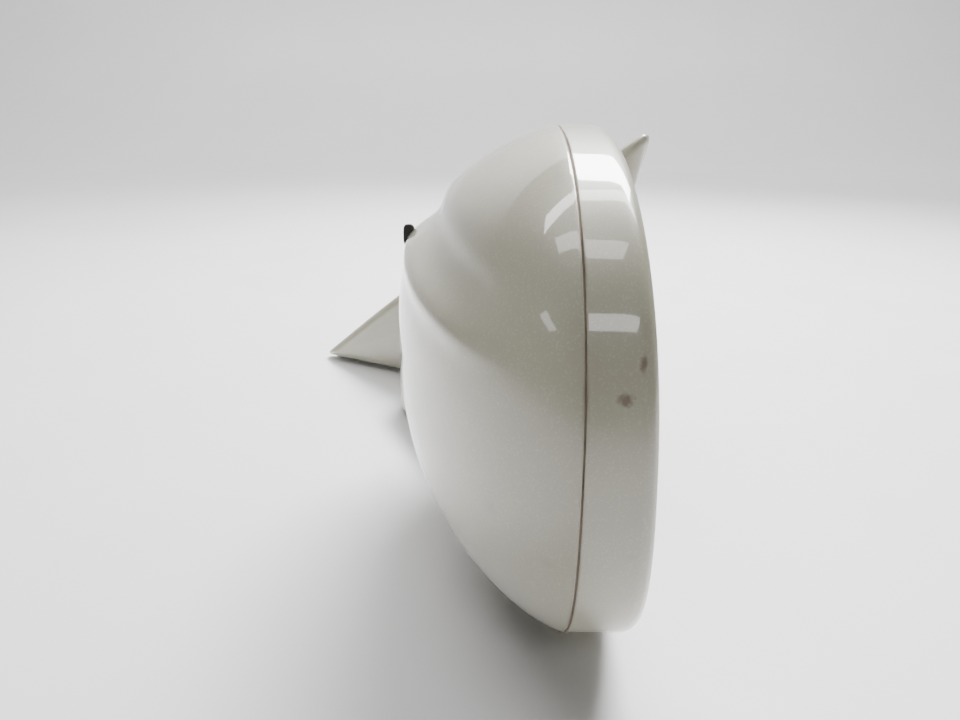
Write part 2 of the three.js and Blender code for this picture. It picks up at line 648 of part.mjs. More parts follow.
function sailCover() {
  const edge = [0, 0.33, 0.67, 1].map((t) => t * Math.PI / 2);
  const blank = solid(new ConvexGeometry([[0, 0], ...edge.map((a) => [
    sailBevel * (1 - Math.cos(a)), -(sailDepth - sailBevel) - sailBevel * Math.sin(a),
  ])].flatMap(([inset, y]) => insetSail(inset).getPoints(4).map((p) => new THREE.Vector3(p.x, y, p.y)))));
  const backPlane = -(gasketThickness + gap);
  const arm = slab(armShape(4, -4), armBottom + 4, armTop - armBottom - 8, {
    bevelEnabled: true, bevelThickness: 4, bevelSize: 4, bevelSegments: 2,
  });
  let cover = blank.add(arm).add(rodZ(pivot.x, pivot.y, collarRadius, armTop - 3, collarTop, 28));
  cover = cover.subtract(box(-200, 200, backPlane, 50, -200, 200));
  const pocket = plate(insetSail(wall), 10, sailDepth - wall + 10);
  const core = slab(armShape(wall, 10), armBottom - 1, armTop - wall - armBottom + 1);
  const throat = rodZ(pivot.x, pivot.y, collarRadius - wall, armTop - 6, collarTop + 1, 28);
  cover = cover.subtract(pocket).subtract(core).subtract(throat);
  for (const [x, z] of coverScrews) {
    cover = cover.add(rodY(x, z, screwHead, -(sailDepth - 1.5), bracketOuter - gap, 14));
    cover = cover.subtract(rodY(x, z, screwRadius + gap, bracketOuter - 3.5, bracketOuter + 1, 10));
  }
  add(mirror, "sail_cover", cover, pearlPaint);
}

function armLid() {
  const lid = slab(armShape(wall + gap, bracketOuter - 1), armBottom, lidThickness);
  add(mirror, "arm_lid", lid, blackPlastic);
}

function pivotStack() {
  const { x, y } = pivot;
  const flangeTop = armCoreBottom - gap;
  const tube = rodZ(x, y, shaftRadius, flangeTop - 1, shaftTop)
    .add(rodZ(x, y, 10, flangeTop - flangeThickness, flangeTop))
    .subtract(rodZ(x, y, shaftBore, flangeTop - flangeThickness - 1, shaftTop + 1));
  const clipZ = clipBottom + housingZ;
  const groove = ringZ(x, y, shaftRadius - 0.9, shaftRadius + 2, clipZ - gap, clipZ + 1.6 + gap);
  add(mirror, "pivot_shaft", tube.subtract(groove), steel);
  const washer = ringZ(x, y, shaftRadius + gap, bossRadius, bossTop + gap, bossTop + gap + washerThickness);
  add(mirror, "thrust_washer", washer, acetal);
  const cap = ringZ(x, y, shaftRadius + gap, hubRadius, clipZ - gap - washerThickness, clipZ - gap);
  add(mirror, "spring_cap", cap, steel);
  const clip = ringZ(x, y, shaftRadius - 0.6, shaftRadius + 2.4, clipZ, clipZ + 1.6)
    .subtract(box(x - 20, x - 2, y - 2.5, y + 2.5, clipZ - 1, clipZ + 3));
  add(mirror, "retaining_clip", clip, steel);
  add(mirror, "pivot_seal", ringZ(x, y, collarRadius + gap, collarRadius + 4, armTop + gap, armTop + 2.2), rubber);
}

// The fold spring, wound round the shaft above the hub.
function foldSpring() {
  const turns = 5;
  const low = hubTop + springWire + gap;
  const rise = springHeight - 2 * springWire - 2 * gap;
  class Coil extends THREE.Curve {
    getPoint(t, target = new THREE.Vector3()) {
      const angle = t * turns * 2 * Math.PI;
      return target.set(springRadius * Math.cos(angle), springRadius * Math.sin(angle), low + rise * t);
    }
  }
  const steps = turns * 9;
  const rings = [];
  for (let i = 0; i <= steps; i++) {
    const t = i / steps;
    const at = new Coil().getPoint(t);
    const out = new THREE.Vector3(at.x, at.y, 0).normalize();
    rings.push(Array.from({ length: 5 }, (_, k) => {
      const a = (k / 5) * 2 * Math.PI;
      return at.clone().addScaledVector(out, springWire * Math.cos(a)).add(new THREE.Vector3(0, 0, springWire * Math.sin(a)));
    }));
  }
  add(housing, "fold_spring", ringSolid(rings).translate([pivotInHousing.x, pivotInHousing.y, 0]), steel);
  const { x, y } = pivotInHousing;
  const washer = ringZ(x, y, shaftRadius + 0.6, hubRadius, hubBottom - gap - washerThickness, hubBottom - gap);
  add(housing, "detent_washer", washer, steel);
}

// ---------- fasteners ----------

// A pan-head screw along y. Its head is on the side that toward points to.
function screw(parent, name, x, z, seat, toward, length) {
  const head = toward > 0 ? rodY(x, z, screwHead, seat, seat + 2, 10) : rodY(x, z, screwHead, seat - 2, seat, 10);
  const shankFrom = toward > 0 ? seat - length : seat - 0.5;
  const shankTo = toward > 0 ? seat + 0.5 : seat + length;
  const shank = rodY(x, z, screwRadius, shankFrom, shankTo, 7);
  const slot = box(x - 0.4, x + 0.4, toward > 0 ? seat + 1.2 : seat - 3, toward > 0 ? seat + 3 : seat - 1.2, z - 2, z + 2);
  add(parent, name, head.add(shank).subtract(slot), steel);
}

function fasteners() {
  frontBosses.forEach(([x, z], i) => screw(housing, `shell_screw_${i + 1}`, x, z, frameFace - gap, -1, 10));
  rimPostSpots.forEach(([x, z], i) => screw(housing, `rim_screw_${i + 1}`, x, z, frameFace + frameThickness + gap, 1, 5.4));
  earSpots.forEach(([x, z], i) => screw(housing, `actuator_screw_${i + 1}`, x, z, frameFace - 2.2 - 2 * gap, -1, 7));
  coverScrews.forEach(([x, z], i) => screw(mirror, `cover_screw_${i + 1}`, x, z, bracketFace + gap, 1, 7.2));
  studs.forEach(([x, z], i) => {
    const stud = rodY(x, z, studRadius, bracketOuter + 0.5, studLength, 12)
      .add(rodY(x, z, 5, bracketOuter - 2.2, bracketOuter - gap, 6));
    add(mirror, `door_stud_${i + 1}`, stud.add(rodY(x, z, studRadius, bracketOuter - 1, bracketOuter + 1, 12)), steel);
  });
}

function harnessGrommet() {
  const z = armCoreBottom + 6;
  const tube = ringY(pivot.x, z, 3.2, 4.6, -(gasketThickness + 6), 4, 12)
    .add(ringY(pivot.x, z, 3.2, 6.2, -(gasketThickness) + 0.2, -0.6, 12));
  add(mirror, "harness_grommet", tube, rubber);
}

frontShell();
rimShell();
seamSeal();
foldBumper();
housingFrame();
glassParts();
tiltCross();
actuatorCase();
drive("vertical", 0, 1);
drive("horizontal", Math.PI / 2, -1);
gasket();
baseBracket();
sailCover();
armLid();
pivotStack();
foldSpring();
fasteners();
harnessGrommet();

export default mirror;
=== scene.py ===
# %% [markdown]
# # A car door mirror in pearl white
#
# The mirror hangs on the left front door. A triangular foot, the sail, is bolted to the door, a short
# arm stands out of it, and a rounded housing folds on a pivot in the arm. The housing is two painted
# shells that meet in an open seam: a domed front shell, and a rim shell round the glass.
#
# The engineering model is loaded first. It has every piece at its real place and size, but in coarse
# facets. The painted shells, the glass and the rubber are then made again as fine surfaces from the
# same formulas, and the rest of the pieces keep their shape and get a proper finish.

# %% Load the engineering model
import math

import bpy
import numpy as np
from mathutils import Matrix, Vector


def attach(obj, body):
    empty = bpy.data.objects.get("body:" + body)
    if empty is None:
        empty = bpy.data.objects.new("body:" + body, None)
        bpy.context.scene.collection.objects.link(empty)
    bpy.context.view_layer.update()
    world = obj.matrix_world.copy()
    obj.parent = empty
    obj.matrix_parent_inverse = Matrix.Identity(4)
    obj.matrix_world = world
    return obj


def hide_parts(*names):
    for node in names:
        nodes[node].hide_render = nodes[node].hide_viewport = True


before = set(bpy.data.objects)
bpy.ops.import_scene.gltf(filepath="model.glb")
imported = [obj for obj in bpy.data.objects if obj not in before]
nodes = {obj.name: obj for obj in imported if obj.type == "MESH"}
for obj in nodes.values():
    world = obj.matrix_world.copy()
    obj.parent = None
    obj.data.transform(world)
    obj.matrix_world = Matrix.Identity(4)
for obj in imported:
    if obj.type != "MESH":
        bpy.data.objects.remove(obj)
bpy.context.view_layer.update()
MM = 0.001

# %% [markdown]
# ## Where the housing stands
#
# The housing is swept back: its outboard end is further to the rear than its inboard end. It is much
# easier to describe in its own frame, where x runs inboard along the plane of the seam, y forward out
# of that plane, and z up. One matrix takes a point from there to the row frame.

# %% The housing's frame
SWEEP = math.radians(28.5)
INBOARD = np.array([math.cos(math.pi / 2 + SWEEP), math.sin(math.pi / 2 + SWEEP), 0.0])
FORWARD = np.array([-INBOARD[1], INBOARD[0], 0.0])
UP = np.array([0.0, 0.0, 1.0])
FLOOR_Z = -52.0
HALF_WIDTH, HALF_HEIGHT = 105.0, 77.5
PIVOT = np.array([40.7, -74.7, FLOOR_Z + HALF_HEIGHT])
HOUSING_CENTRE = PIVOT - 72.0 * INBOARD - 18.0 * FORWARD


def to_row(points):
    """Housing to row coordinates: the centre plus x times inboard, y times forward, z times up."""
    points = np.asarray(points, float)
    return HOUSING_CENTRE + points[..., :1] * INBOARD + points[..., 1:2] * FORWARD + points[..., 2:3] * UP


print("housing centre", HOUSING_CENTRE.round(1), "fold pivot", PIVOT.round(1), "mm")

# %% [markdown]
# ## From a grid of points to a mesh
#
# Every fine surface here is a grid: one direction runs round or along the piece, the other across it.
# numpy works out all the points at once, and the faces are the same four-point pattern repeated, so
# no loop ever visits a vertex. A grid that closes on itself has its last row joined to its first, and
# a pole is closed with a fan of triangles to one middle point.

# %% Grid to mesh


def grid_faces(rows, columns, close_rows, close_columns, flip):
    """Quads between neighbouring grid points, wrapping round where the grid closes."""
    r = np.arange(rows if close_rows else rows - 1)
    c = np.arange(columns if close_columns else columns - 1)
    r, c = (a.ravel() for a in np.meshgrid(r, c, indexing="ij"))
    r2, c2 = (r + 1) % rows, (c + 1) % columns
    quads = np.stack([r * columns + c, r * columns + c2, r2 * columns + c2, r2 * columns + c], 1)
    return quads[:, ::-1] if flip else quads


def fans(rows, columns, start, end, flip):
    """Triangles from the first and the last row to the two added points start and end."""
    c = np.arange(columns)
    c2 = (c + 1) % columns
    last = (rows - 1) * columns
    first_fan = np.stack([np.full(columns, start), c2, c], 1)
    last_fan = np.stack([np.full(columns, end), last + c, last + c2], 1)
    faces = np.concatenate([first_fan, last_fan])
    return faces[:, ::-1] if flip else faces


def make_piece(name, parts, body, replaced, smooth=40):
    """A piece at the origin from closed parts in millimetres, riding on a body in place of CAD nodes."""
    starts = np.cumsum([0] + [len(part[0]) for part in parts[:-1]])
    points = np.concatenate([part[0] for part in parts])
    quads = np.concatenate([part[1] + start for part, start in zip(parts, starts)])
    triangles = np.concatenate([part[2] + start for part, start in zip(parts, starts)])
    mesh = bpy.data.meshes.new(name)
    counts = np.concatenate([np.full(len(quads), 4), np.full(len(triangles), 3)]).astype(np.int32)
    loops = np.concatenate([quads.ravel(), triangles.ravel()]).astype(np.int32)
    mesh.vertices.add(len(points))
    mesh.vertices.foreach_set("co", (points * MM).astype(np.float32).ravel())
    mesh.loops.add(len(loops))
    mesh.loops.foreach_set("vertex_index", loops)
    mesh.polygons.add(len(counts))
    mesh.polygons.foreach_set("loop_start", np.concatenate([[0], np.cumsum(counts)[:-1]]).astype(np.int32))
    mesh.polygons.foreach_set("loop_total", counts)
    mesh.update()
    mesh.validate()
    mesh.shade_smooth()
    if smooth < 180:
        mesh.set_sharp_from_angle(angle=math.radians(smooth))
    piece = bpy.data.objects.new(name, mesh)
    bpy.context.scene.collection.objects.link(piece)
    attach(piece, body)
    for node in replaced:
        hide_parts(node)
    print(name, len(mesh.polygons), "faces")
    return piece


def is_inside_out(points, quads, triangles):
    """True if the volume under the faces is negative: the sum of a . (b x c) over the triangles."""
    t = np.concatenate([quads[:, [0, 1, 2]], quads[:, [0, 2, 3]], triangles.reshape(-1, 3)])
    a, b, c = points[t[:, 0]], points[t[:, 1]], points[t[:, 2]]
    return np.einsum("ij,ij->i", a, np.cross(b, c)).sum() < 0


def closed_grid(grid, tube=False):
    """A closed part from rows of closed rings. A tube joins last ring to first; otherwise poles close it."""
    rows, columns = grid.shape[:2]
    points = grid.reshape(-1, 3)
    quads = grid_faces(rows, columns, tube, True, False)
    triangles = np.empty((0, 3), int)
    if not tube:
        points = np.concatenate([points, grid[0].mean(0)[None], grid[-1].mean(0)[None]])
        triangles = fans(rows, columns, rows * columns, rows * columns + 1, False)
    if is_inside_out(points - points.mean(0), quads, triangles):
        quads, triangles = quads[:, ::-1], triangles[:, ::-1]
    return points, quads, triangles


# %% [markdown]
# ## The outline of the housing
#
# Seen along its own y, the housing is a superellipse: a rounded rectangle whose corners are set by one
# exponent. Its lower half closes up towards the inboard end, to clear the arm. Points on it are spread
# evenly along its length, so that the tight inboard end gets as fine a mesh as the rest.

# %% Outline


def smoothstep(v):
    """0 below 0, 1 above 1, and 3 v squared minus 2 v cubed between."""
    v = np.clip(v, 0, 1)
    return v * v * (3 - 2 * v)


def outline(angle):
    """Superellipse of exponent 2.4, with its height scaled down towards the inboard end."""
    c, s = np.cos(angle), np.sin(angle)
    x = HALF_WIDTH * np.sign(c) * np.abs(c) ** (2 / 2.4)
    z = HALF_HEIGHT * np.sign(s) * np.abs(s) ** (2 / 2.4)
    close = np.where(z < 0, 0.6, 0.1) * smoothstep((x / HALF_WIDTH + 0.15) / 1.15)
    return np.stack([x, z * (1 - close)], -1)


def even_outline(count):
    """Points evenly spaced along the outline, and the unit vector that points inwards at each of them."""
    angle = np.linspace(0, 2 * np.pi, 8001)
    line = outline(angle)
    length = np.concatenate([[0], np.cumsum(np.linalg.norm(np.diff(line, axis=0), axis=1))])
    at = np.interp(np.arange(count) / count * length[-1], length, angle)
    tangent = outline(at + 2e-3) - outline(at - 2e-3)
    tangent /= np.linalg.norm(tangent, axis=1, keepdims=True)
    inward = np.stack([-tangent[:, 1], tangent[:, 0]], 1)
    return outline(at), inward


ROUND = 288
edge_line, edge_inward = even_outline(ROUND)
print("outline", np.ptp(edge_line, axis=0).round(1), "mm")

# %% [markdown]
# ## The front shell
#
# The dome is drawn in rings that shrink from the outline to a centre a little inboard. A character
# line runs across its front: a rounded shoulder with a shallow valley above it, which fades out
# towards the outboard end and towards the seam. On the real part the sheet is 2.5 mm thick and its
# edge is softly rounded, and that edge is what makes the seam read as a dark line, so the grid goes
# over the rounded edge and back up the inside as one closed skin.

# %% Front shell
DOME_DEPTH, DOME_ROUND, DOME_EDGE = 56.0, 2.4, 1.4
DOME_CENTRE = np.array([48.0, 2.0])
WALL, SEAM = 2.5, 0.4


def shoulder_lift(x, z, ring):
    """A bell-shaped ridge on a line that drops outboard, less a wider bell above, both fading to the edge."""
    above = z - (36.5 + 0.11 * np.minimum(x, 0))
    fade = smoothstep((x + 95) / 30) * (1 - ring**8)
    ridge = 2.2 * np.exp(-((above / 4.5) ** 2))
    valley = 4.0 * np.exp(-(((above - 11) / 8) ** 2))
    return fade * (ridge - valley)


def dome_rings(rings, thickness):
    """Rings of the dome: the edge scaled to the centre, at a height (1 - ring^2.4)^(1/1.4) of the depth."""
    edge = edge_line + edge_inward * thickness
    ring = rings[:, None]
    x = DOME_CENTRE[0] + (edge[:, 0] - DOME_CENTRE[0]) * ring
    z = DOME_CENTRE[1] + (edge[:, 1] - DOME_CENTRE[1]) * ring
    y = (DOME_DEPTH - thickness) * (1 - ring**DOME_ROUND) ** (1 / DOME_EDGE) + shoulder_lift(x, z, ring)
    return np.stack([x, y, z], -1)


def edge_roll(y0, direction, radius, steps):
    """A rounded shell edge: from the outer face over a small radius to the inner face, as inset and y."""
    turn = np.linspace(0, np.pi / 2, steps)
    outer = np.stack([radius * (1 - np.cos(turn)), y0 - direction * radius * (1 - np.sin(turn))], 1)
    inner = np.stack([WALL - radius * (1 - np.sin(turn)), y0 - direction * radius * (1 - np.cos(turn))], 1)
    return np.concatenate([outer, inner])


outer_rings = np.sin(np.linspace(0.012, np.pi / 2, 96))
outer_skin = dome_rings(outer_rings, 0.0)
outer_skin = outer_skin[outer_skin[:, :, 1].min(1) > SEAM / 2 + 0.7]
inner_skin = dome_rings(np.sin(np.linspace(np.pi / 2, 0.02, 48)), WALL)
inner_skin = inner_skin[inner_skin[:, :, 1].min(1) > SEAM / 2 + 0.7]
roll = edge_roll(SEAM / 2, -1, 0.35, 5)
roll_xz = edge_line[None] + edge_inward[None] * roll[:, :1, None]
roll_y = np.broadcast_to(roll[:, 1, None], roll_xz.shape[:2])
roll_grid = np.stack([roll_xz[..., 0], roll_y, roll_xz[..., 1]], -1)
front_grid = to_row(np.concatenate([outer_skin, roll_grid, inner_skin]))
front = make_piece("front_shell_skin", [closed_grid(front_grid)], "housing", ["front_shell"],
                   50)

# %% [markdown]
# The shell is open underneath, where the arm's collar comes up into it. The opening is cut with a
# Boolean modifier, which is applied at once, so that the piece is plain mesh again.

# %% Opening for the pivot


def cut(piece, points, quads, triangles):
    """Takes a closed solid out of a piece with an applied Boolean modifier."""
    mesh = bpy.data.meshes.new("cutter")
    mesh.from_pydata((points * MM).tolist(), [], quads.tolist() + triangles.tolist())
    tool = bpy.data.objects.new("cutter", mesh)
    bpy.context.scene.collection.objects.link(tool)
    modifier = piece.modifiers.new("opening", "BOOLEAN")
    modifier.object, modifier.operation, modifier.solver = tool, "DIFFERENCE", "EXACT"
    bpy.context.view_layer.update()
    cut_mesh = bpy.data.meshes.new_from_object(piece.evaluated_get(bpy.context.evaluated_depsgraph_get()))
    piece.modifiers.remove(modifier)
    piece.data = cut_mesh
    bpy.data.objects.remove(tool)
    print(piece.name, "cut:", len(cut_mesh.polygons), "faces")


def drum(x, y, radius, z0, z1, sides=96):
    """Points and faces of an upright cylinder in row coordinates."""
    turn = np.arange(sides) / sides * 2 * np.pi
    ring = np.stack([x + radius * np.cos(turn), y + radius * np.sin(turn)], 1)
    low, high = (np.column_stack([ring, np.full(sides, z)]) for z in (z0, z1))
    points = np.concatenate([low, high, [[x, y, z0]], [[x, y, z1]]])
    return points, grid_faces(2, sides, False, True, False), fans(2, sides, 2 * sides, 2 * sides + 1, False)


cut(front, *drum(PIVOT[0], PIVOT[1], 18.4, FLOOR_Z - 20, FLOOR_Z + HALF_HEIGHT - 2))

# %% [markdown]
# ## The rim shell
#
# The rim is one section carried round the outline. The band on its outside is deeper at the bottom
# than at the top. At the rear it folds over a soft edge into a lip, which rolls in towards the glass.

# %% Rim shell


def catmull_rom(knots, steps):
    """A smooth curve through the knots: cubics whose slopes are half the distance between neighbours."""
    k = np.concatenate([knots[:1], knots, knots[-1:]])
    t = np.linspace(0, 1, steps, endpoint=False)[:, None]
    p0, p1, p2, p3 = k[:-3, None], k[1:-2, None], k[2:-1, None], k[3:, None]
    square, cube = 2 * p0 - 5 * p1 + 4 * p2 - p3, 3 * p1 - p0 - 3 * p2 + p3
    curve = 0.5 * (2 * p1 + (p2 - p0) * t + square * t**2 + cube * t**3)
    return np.concatenate([curve.reshape(-1, knots.shape[1]), knots[-1:]])


def rim_section():
    """The section as columns: inset, y at zero band depth, and how far it follows the band's depth."""
    outside = np.array([[0, -0.7, 0], [0, -3, 0.2], [0, 5.5, 1], [0.15, 3.4, 1], [0.75, 1.7, 1],
                        [1.9, 0.5, 1]])
    lip = np.array([[1.9, 0.5, 1], [3.4, 0.05, 1], [5.2, 0.35, 1], [6.8, 1.3, 1], [7.7, 2.9, 1],
                    [8.15, 5, 1], [8.2, 9, 1]])
    inside = np.array([[5.7, 9, 1], [5.6, 5.2, 1], [4.6, 3.6, 1], [3.2, 4.0, 1], [2.5, 6, 1],
                       [2.5, -3, 0.2], [2.5, -0.7, 0]])
    return np.concatenate([catmull_rom(outside, 5)[:-1], catmull_rom(lip, 5), catmull_rom(inside, 4)])


section = rim_section()
seam_edge = edge_roll(-SEAM / 2, 1, 0.35, 5)[::-1]
section = np.concatenate([section, np.column_stack([seam_edge, np.zeros(len(seam_edge))])])
band = 20.5 + (15 - 20.5) * (edge_line[:, 1] + HALF_HEIGHT) / (2 * HALF_HEIGHT)
rim_y = section[:, 1, None] - section[:, 2, None] * band[None]
rim_xz = edge_line[None] + edge_inward[None] * section[:, 0, None, None]
rim_grid = to_row(np.stack([rim_xz[..., 0], rim_y, rim_xz[..., 1]], -1))
rim = make_piece("rim_shell_skin", [closed_grid(rim_grid, tube=True)], "housing", ["rim_shell"],
                 50)

# %% [markdown]
# ## Seal, glass and bumper
#
# A thin grey-brown seal lies behind the seam. Years of dust and wax have settled on it, so the seam
# reads as a fine brown line and not as a black gap. The glass is a flat plate with a ground edge,
# carried round the same outline, further in. Both are again one section carried round the outline.

# %% Seal and glass


def carried_round(section):
    """Carries columns of inset and y round the outline: each point moves in from the outline by its inset."""
    xz = edge_line[None] + edge_inward[None] * section[:, 0, None, None]
    y = np.broadcast_to(section[:, 1, None], xz.shape[:2])
    return to_row(np.stack([xz[..., 0], y, xz[..., 1]], -1))


seal_section = np.array([
    [0.42, -0.17], [0.3, 0], [0.42, 0.17], [3.3, 0.2], [3.5, 1.1],
    [4.6, 1.2], [4.7, -4.7], [3.5, -4.8], [3.3, -0.2],
])
seal = make_piece("seam_seal_skin", [closed_grid(carried_round(seal_section), tube=True)],
                  "housing", ["seam_seal"])

GLASS_INSET, GLASS_FRONT, GLASS_REAR = 11.8, -8.0, -10.0
ground = np.array([[0.35, GLASS_FRONT], [0, GLASS_FRONT - 0.4], [0, GLASS_REAR + 0.5], [0.5, GLASS_REAR]])
shrink = np.linspace(0.04, 0.99, 14)


def glass_rings(scale, y):
    """Flat rings of the glass: its edge, moved in by the ground edge and scaled towards its middle."""
    inner = edge_line + edge_inward * (GLASS_INSET + 0.5)
    ring = inner[None] * scale[:, None, None]
    return to_row(np.stack([ring[..., 0], np.full(ring.shape[:2], y), ring[..., 1]], -1))


ground_grid = carried_round(ground + np.array([GLASS_INSET, 0]))
front_face, rear_face = glass_rings(shrink, GLASS_FRONT), glass_rings(shrink[::-1], GLASS_REAR)
glass_grid = np.concatenate([front_face, ground_grid, rear_face])
glass = make_piece("mirror_glass_skin", [closed_grid(glass_grid)], "glass", ["mirror_glass"],
                   25)

# %% [markdown]
# ## The bumper
#
# A small rubber pad sits on the inboard shoulder of the front shell, where the housing would meet the
# door if it were folded too far. It is a soft-cornered block: a sphere's grid whose sines and cosines
# are raised to a power below one, which squares it.

# %% Bumper


def squared(value, power=0.6):
    """A sine or cosine raised to a power with its sign kept, which turns a sphere into a rounded block."""
    return np.sign(value) * np.abs(value) ** power


def pad_on_shell(x, z, half_sizes):
    """A rounded block centred on the shell's surface nearest to x and z."""
    nearest = np.argmin(np.linalg.norm(outer_skin.reshape(-1, 3)[:, [0, 2]] - (x, z), axis=1))
    centre = outer_skin.reshape(-1, 3)[nearest]
    polar = np.linspace(0.06, np.pi - 0.06, 28)[:, None]
    round_z = np.linspace(0, 2 * np.pi, 48, endpoint=False)[None]
    girth = squared(np.sin(polar))
    shape = [girth * squared(np.cos(round_z)), girth * squared(np.sin(round_z)),
             squared(np.cos(polar)) * np.ones_like(round_z)]
    return closed_grid(to_row(centre + np.stack(shape, -1) * half_sizes))


bumper = make_piece("fold_bumper_skin", [pad_on_shell(27, 36.5, (1.3, 2.2, 4.2))], "housing", ["fold_bumper"],
                    60)

# %% [markdown]
# ## The sail
#
# The sail is a triangle with one corner drawn far forward. Its outline is a polygon whose corners are
# quadratic curves. Moved in by a distance, each side stays parallel to itself, so rings of the same
# outline, further and further in, give the rounded edge and then the face. The face is crowned by a
# millimetre, as moulded covers are, and the inside follows it as a hollow.

# %% Sail
SAIL_CORNERS = np.array([[-121.0, -50.0], [54.0, -50.0], [85.0, 96.0], [-56.0, 2.0]])
SAIL_RADII = np.array([6.0, 9.0, 8.0, 60.0])
SAIL_DEPTH, SAIL_BEVEL, BACK_PLANE, SAIL_CROWN = 12.0, 6.0, -3.3, 1.0


def cross2(a, b):
    """The single number that a cross product has in a plane."""
    return a[..., 0] * b[..., 1] - a[..., 1] * b[..., 0]


def inset_corners(corners, distance):
    """Each side moves in along its normal, and meets its neighbour again where both lines cross."""
    side = np.roll(corners, -1, 0) - corners
    unit = side / np.linalg.norm(side, axis=1, keepdims=True)
    at = corners + distance * np.stack([-unit[:, 1], unit[:, 0]], 1)
    last_at, last_unit = np.roll(at, 1, 0), np.roll(unit, 1, 0)
    along = cross2(at - last_at, unit) / cross2(last_unit, unit)
    return last_at + last_unit * along[:, None]


def sail_outline(distance, arc=18, straight=34):
    """Each corner as (1-t)^2 start + 2t(1-t) corner + t^2 end, then a straight side to the next start."""
    corners = inset_corners(SAIL_CORNERS, distance)
    radii = np.maximum(2, SAIL_RADII - distance)
    before, after = np.roll(corners, 1, 0), np.roll(corners, -1, 0)
    to_before = np.linalg.norm(before - corners, axis=1)
    to_after = np.linalg.norm(after - corners, axis=1)
    reach = np.minimum(radii, 0.45 * np.minimum(to_before, to_after))
    start = corners + (before - corners) * (reach / to_before)[:, None]
    end = corners + (after - corners) * (reach / to_after)[:, None]
    t = np.linspace(0, 1, arc)[None, :, None]
    curve = (1 - t) ** 2 * start[:, None] + 2 * t * (1 - t) * corners[:, None] + t**2 * end[:, None]
    u = np.linspace(0, 1, straight + 2)[1:-1][None, :, None]
    side = end[:, None] * (1 - u) + np.roll(start, -1, 0)[:, None] * u
    return np.concatenate([curve, side], 1).reshape(-1, 2)


def sail_ring(distance, y):
    """One ring of the sail at an inset and a depth."""
    line = sail_outline(distance)
    return np.stack([line[:, 0], np.full(len(line), y), line[:, 1]], 1)


def sail_face(distance, y, crown, scales):
    """Rings scaled to the middle of the face, whose height grows by the crown times 1 - scale squared."""
    line = sail_outline(distance)
    middle = line.mean(0)
    ring = middle + (line - middle) * scales[:, None, None]
    depth = np.broadcast_to((y - crown * (1 - scales**2))[:, None], ring.shape[:2])
    return np.stack([ring[..., 0], depth, ring[..., 1]], -1)


turn = np.linspace(np.pi / 2, 0, 12)
bevel_rings = [sail_ring(SAIL_BEVEL * (1 - math.cos(a)), SAIL_BEVEL - SAIL_DEPTH - SAIL_BEVEL * math.sin(a))
               for a in turn]
hem_rings = [sail_ring(0, BACK_PLANE - 0.4), sail_ring(0.4, BACK_PLANE), sail_ring(WALL, BACK_PLANE)]
inside_rings = [sail_ring(WALL, WALL - SAIL_DEPTH + 2), sail_ring(WALL + 2, WALL - SAIL_DEPTH)]
scales = np.linspace(0.02, 0.985, 22)
sail_grid = np.concatenate([
    sail_face(SAIL_BEVEL, -SAIL_DEPTH, SAIL_CROWN, scales), np.array(bevel_rings), np.array(hem_rings),
    np.array(inside_rings), sail_face(WALL + 2, WALL - SAIL_DEPTH, SAIL_CROWN, scales[::-1]),
])
sail = make_piece("sail_skin", [closed_grid(sail_grid)], "base", ["sail_cover"], 50)

# %% [markdown]
# ## The arm and its collar
#
# The arm's plan has a round end about the pivot, a straight rear side, and a front side that flares
# towards the door. Its rings are that plan at growing insets, rolled over at the top edge. The collar
# is turned about the pivot. The sail's face and the arm's top are then opened where the bracket and
# the pivot pass through them.

# %% Arm
ARM_RADIUS, ARM_HALF_WIDTH, ARM_FLARE = 27.0, 23.0, math.radians(17)
ARM_SHOULDER, ARM_SHOULDER_ROUND = np.array([-29.0, -56.0]), 9.0
ARM_BOTTOM, ARM_TOP, ARM_EDGE = -49.0, -25.0, 4.0
COLLAR_RADIUS, COLLAR_TOP = 16.5, 2.0


def arm_outline(inset, reach):
    """The plan: rear side, arc about the pivot, tangent to the shoulder, a curve, and the flared side."""
    pivot, radius, half = PIVOT[:2], ARM_RADIUS - inset, ARM_HALF_WIDTH - inset
    to_shoulder = ARM_SHOULDER - pivot
    distance = np.linalg.norm(to_shoulder)
    touch = math.atan2(to_shoulder[1], to_shoulder[0]) + math.acos(ARM_RADIUS / distance) - 2 * math.pi
    tangent_normal = np.array([math.cos(touch), math.sin(touch)])
    flare_normal = np.array([-math.cos(ARM_FLARE), -math.sin(ARM_FLARE)])
    a = tangent_normal @ pivot + radius
    b = flare_normal @ ARM_SHOULDER - inset
    corner = np.array([a * flare_normal[1] - b * tangent_normal[1],
                       b * tangent_normal[0] - a * flare_normal[0]])
    corner /= cross2(tangent_normal, flare_normal)
    foot = np.array([(b - flare_normal[1] * reach) / flare_normal[0], reach])
    outer = pivot + radius * tangent_normal
    begin = math.pi / 2 - math.asin(half / radius)
    into = corner + (outer - corner) * ARM_SHOULDER_ROUND / np.linalg.norm(outer - corner)
    out = corner + (foot - corner) * ARM_SHOULDER_ROUND / np.linalg.norm(foot - corner)
    sweep = np.linspace(begin, touch, 72)
    arc = pivot + radius * np.stack([np.cos(sweep), np.sin(sweep)], 1)
    t = np.linspace(0, 1, 16)[:, None]
    curve = (1 - t) ** 2 * into + 2 * t * (1 - t) * corner + t**2 * out
    rear = np.linspace([pivot[0] + half, reach], arc[0], 24)[:-1]
    front_side = np.linspace(arc[-1], into, 20)[1:-1]
    flared = np.linspace(out, foot, 24)[1:]
    across = np.linspace(foot, [pivot[0] + half, reach], 30)[1:-1]
    return np.concatenate([rear, arc, front_side, curve, flared, across])


def arm_ring(inset, z):
    """One ring of the arm at an inset and a height. Its foot stays inside the sail."""
    line = arm_outline(inset, -4.0)
    return np.column_stack([line, np.full(len(line), z)])


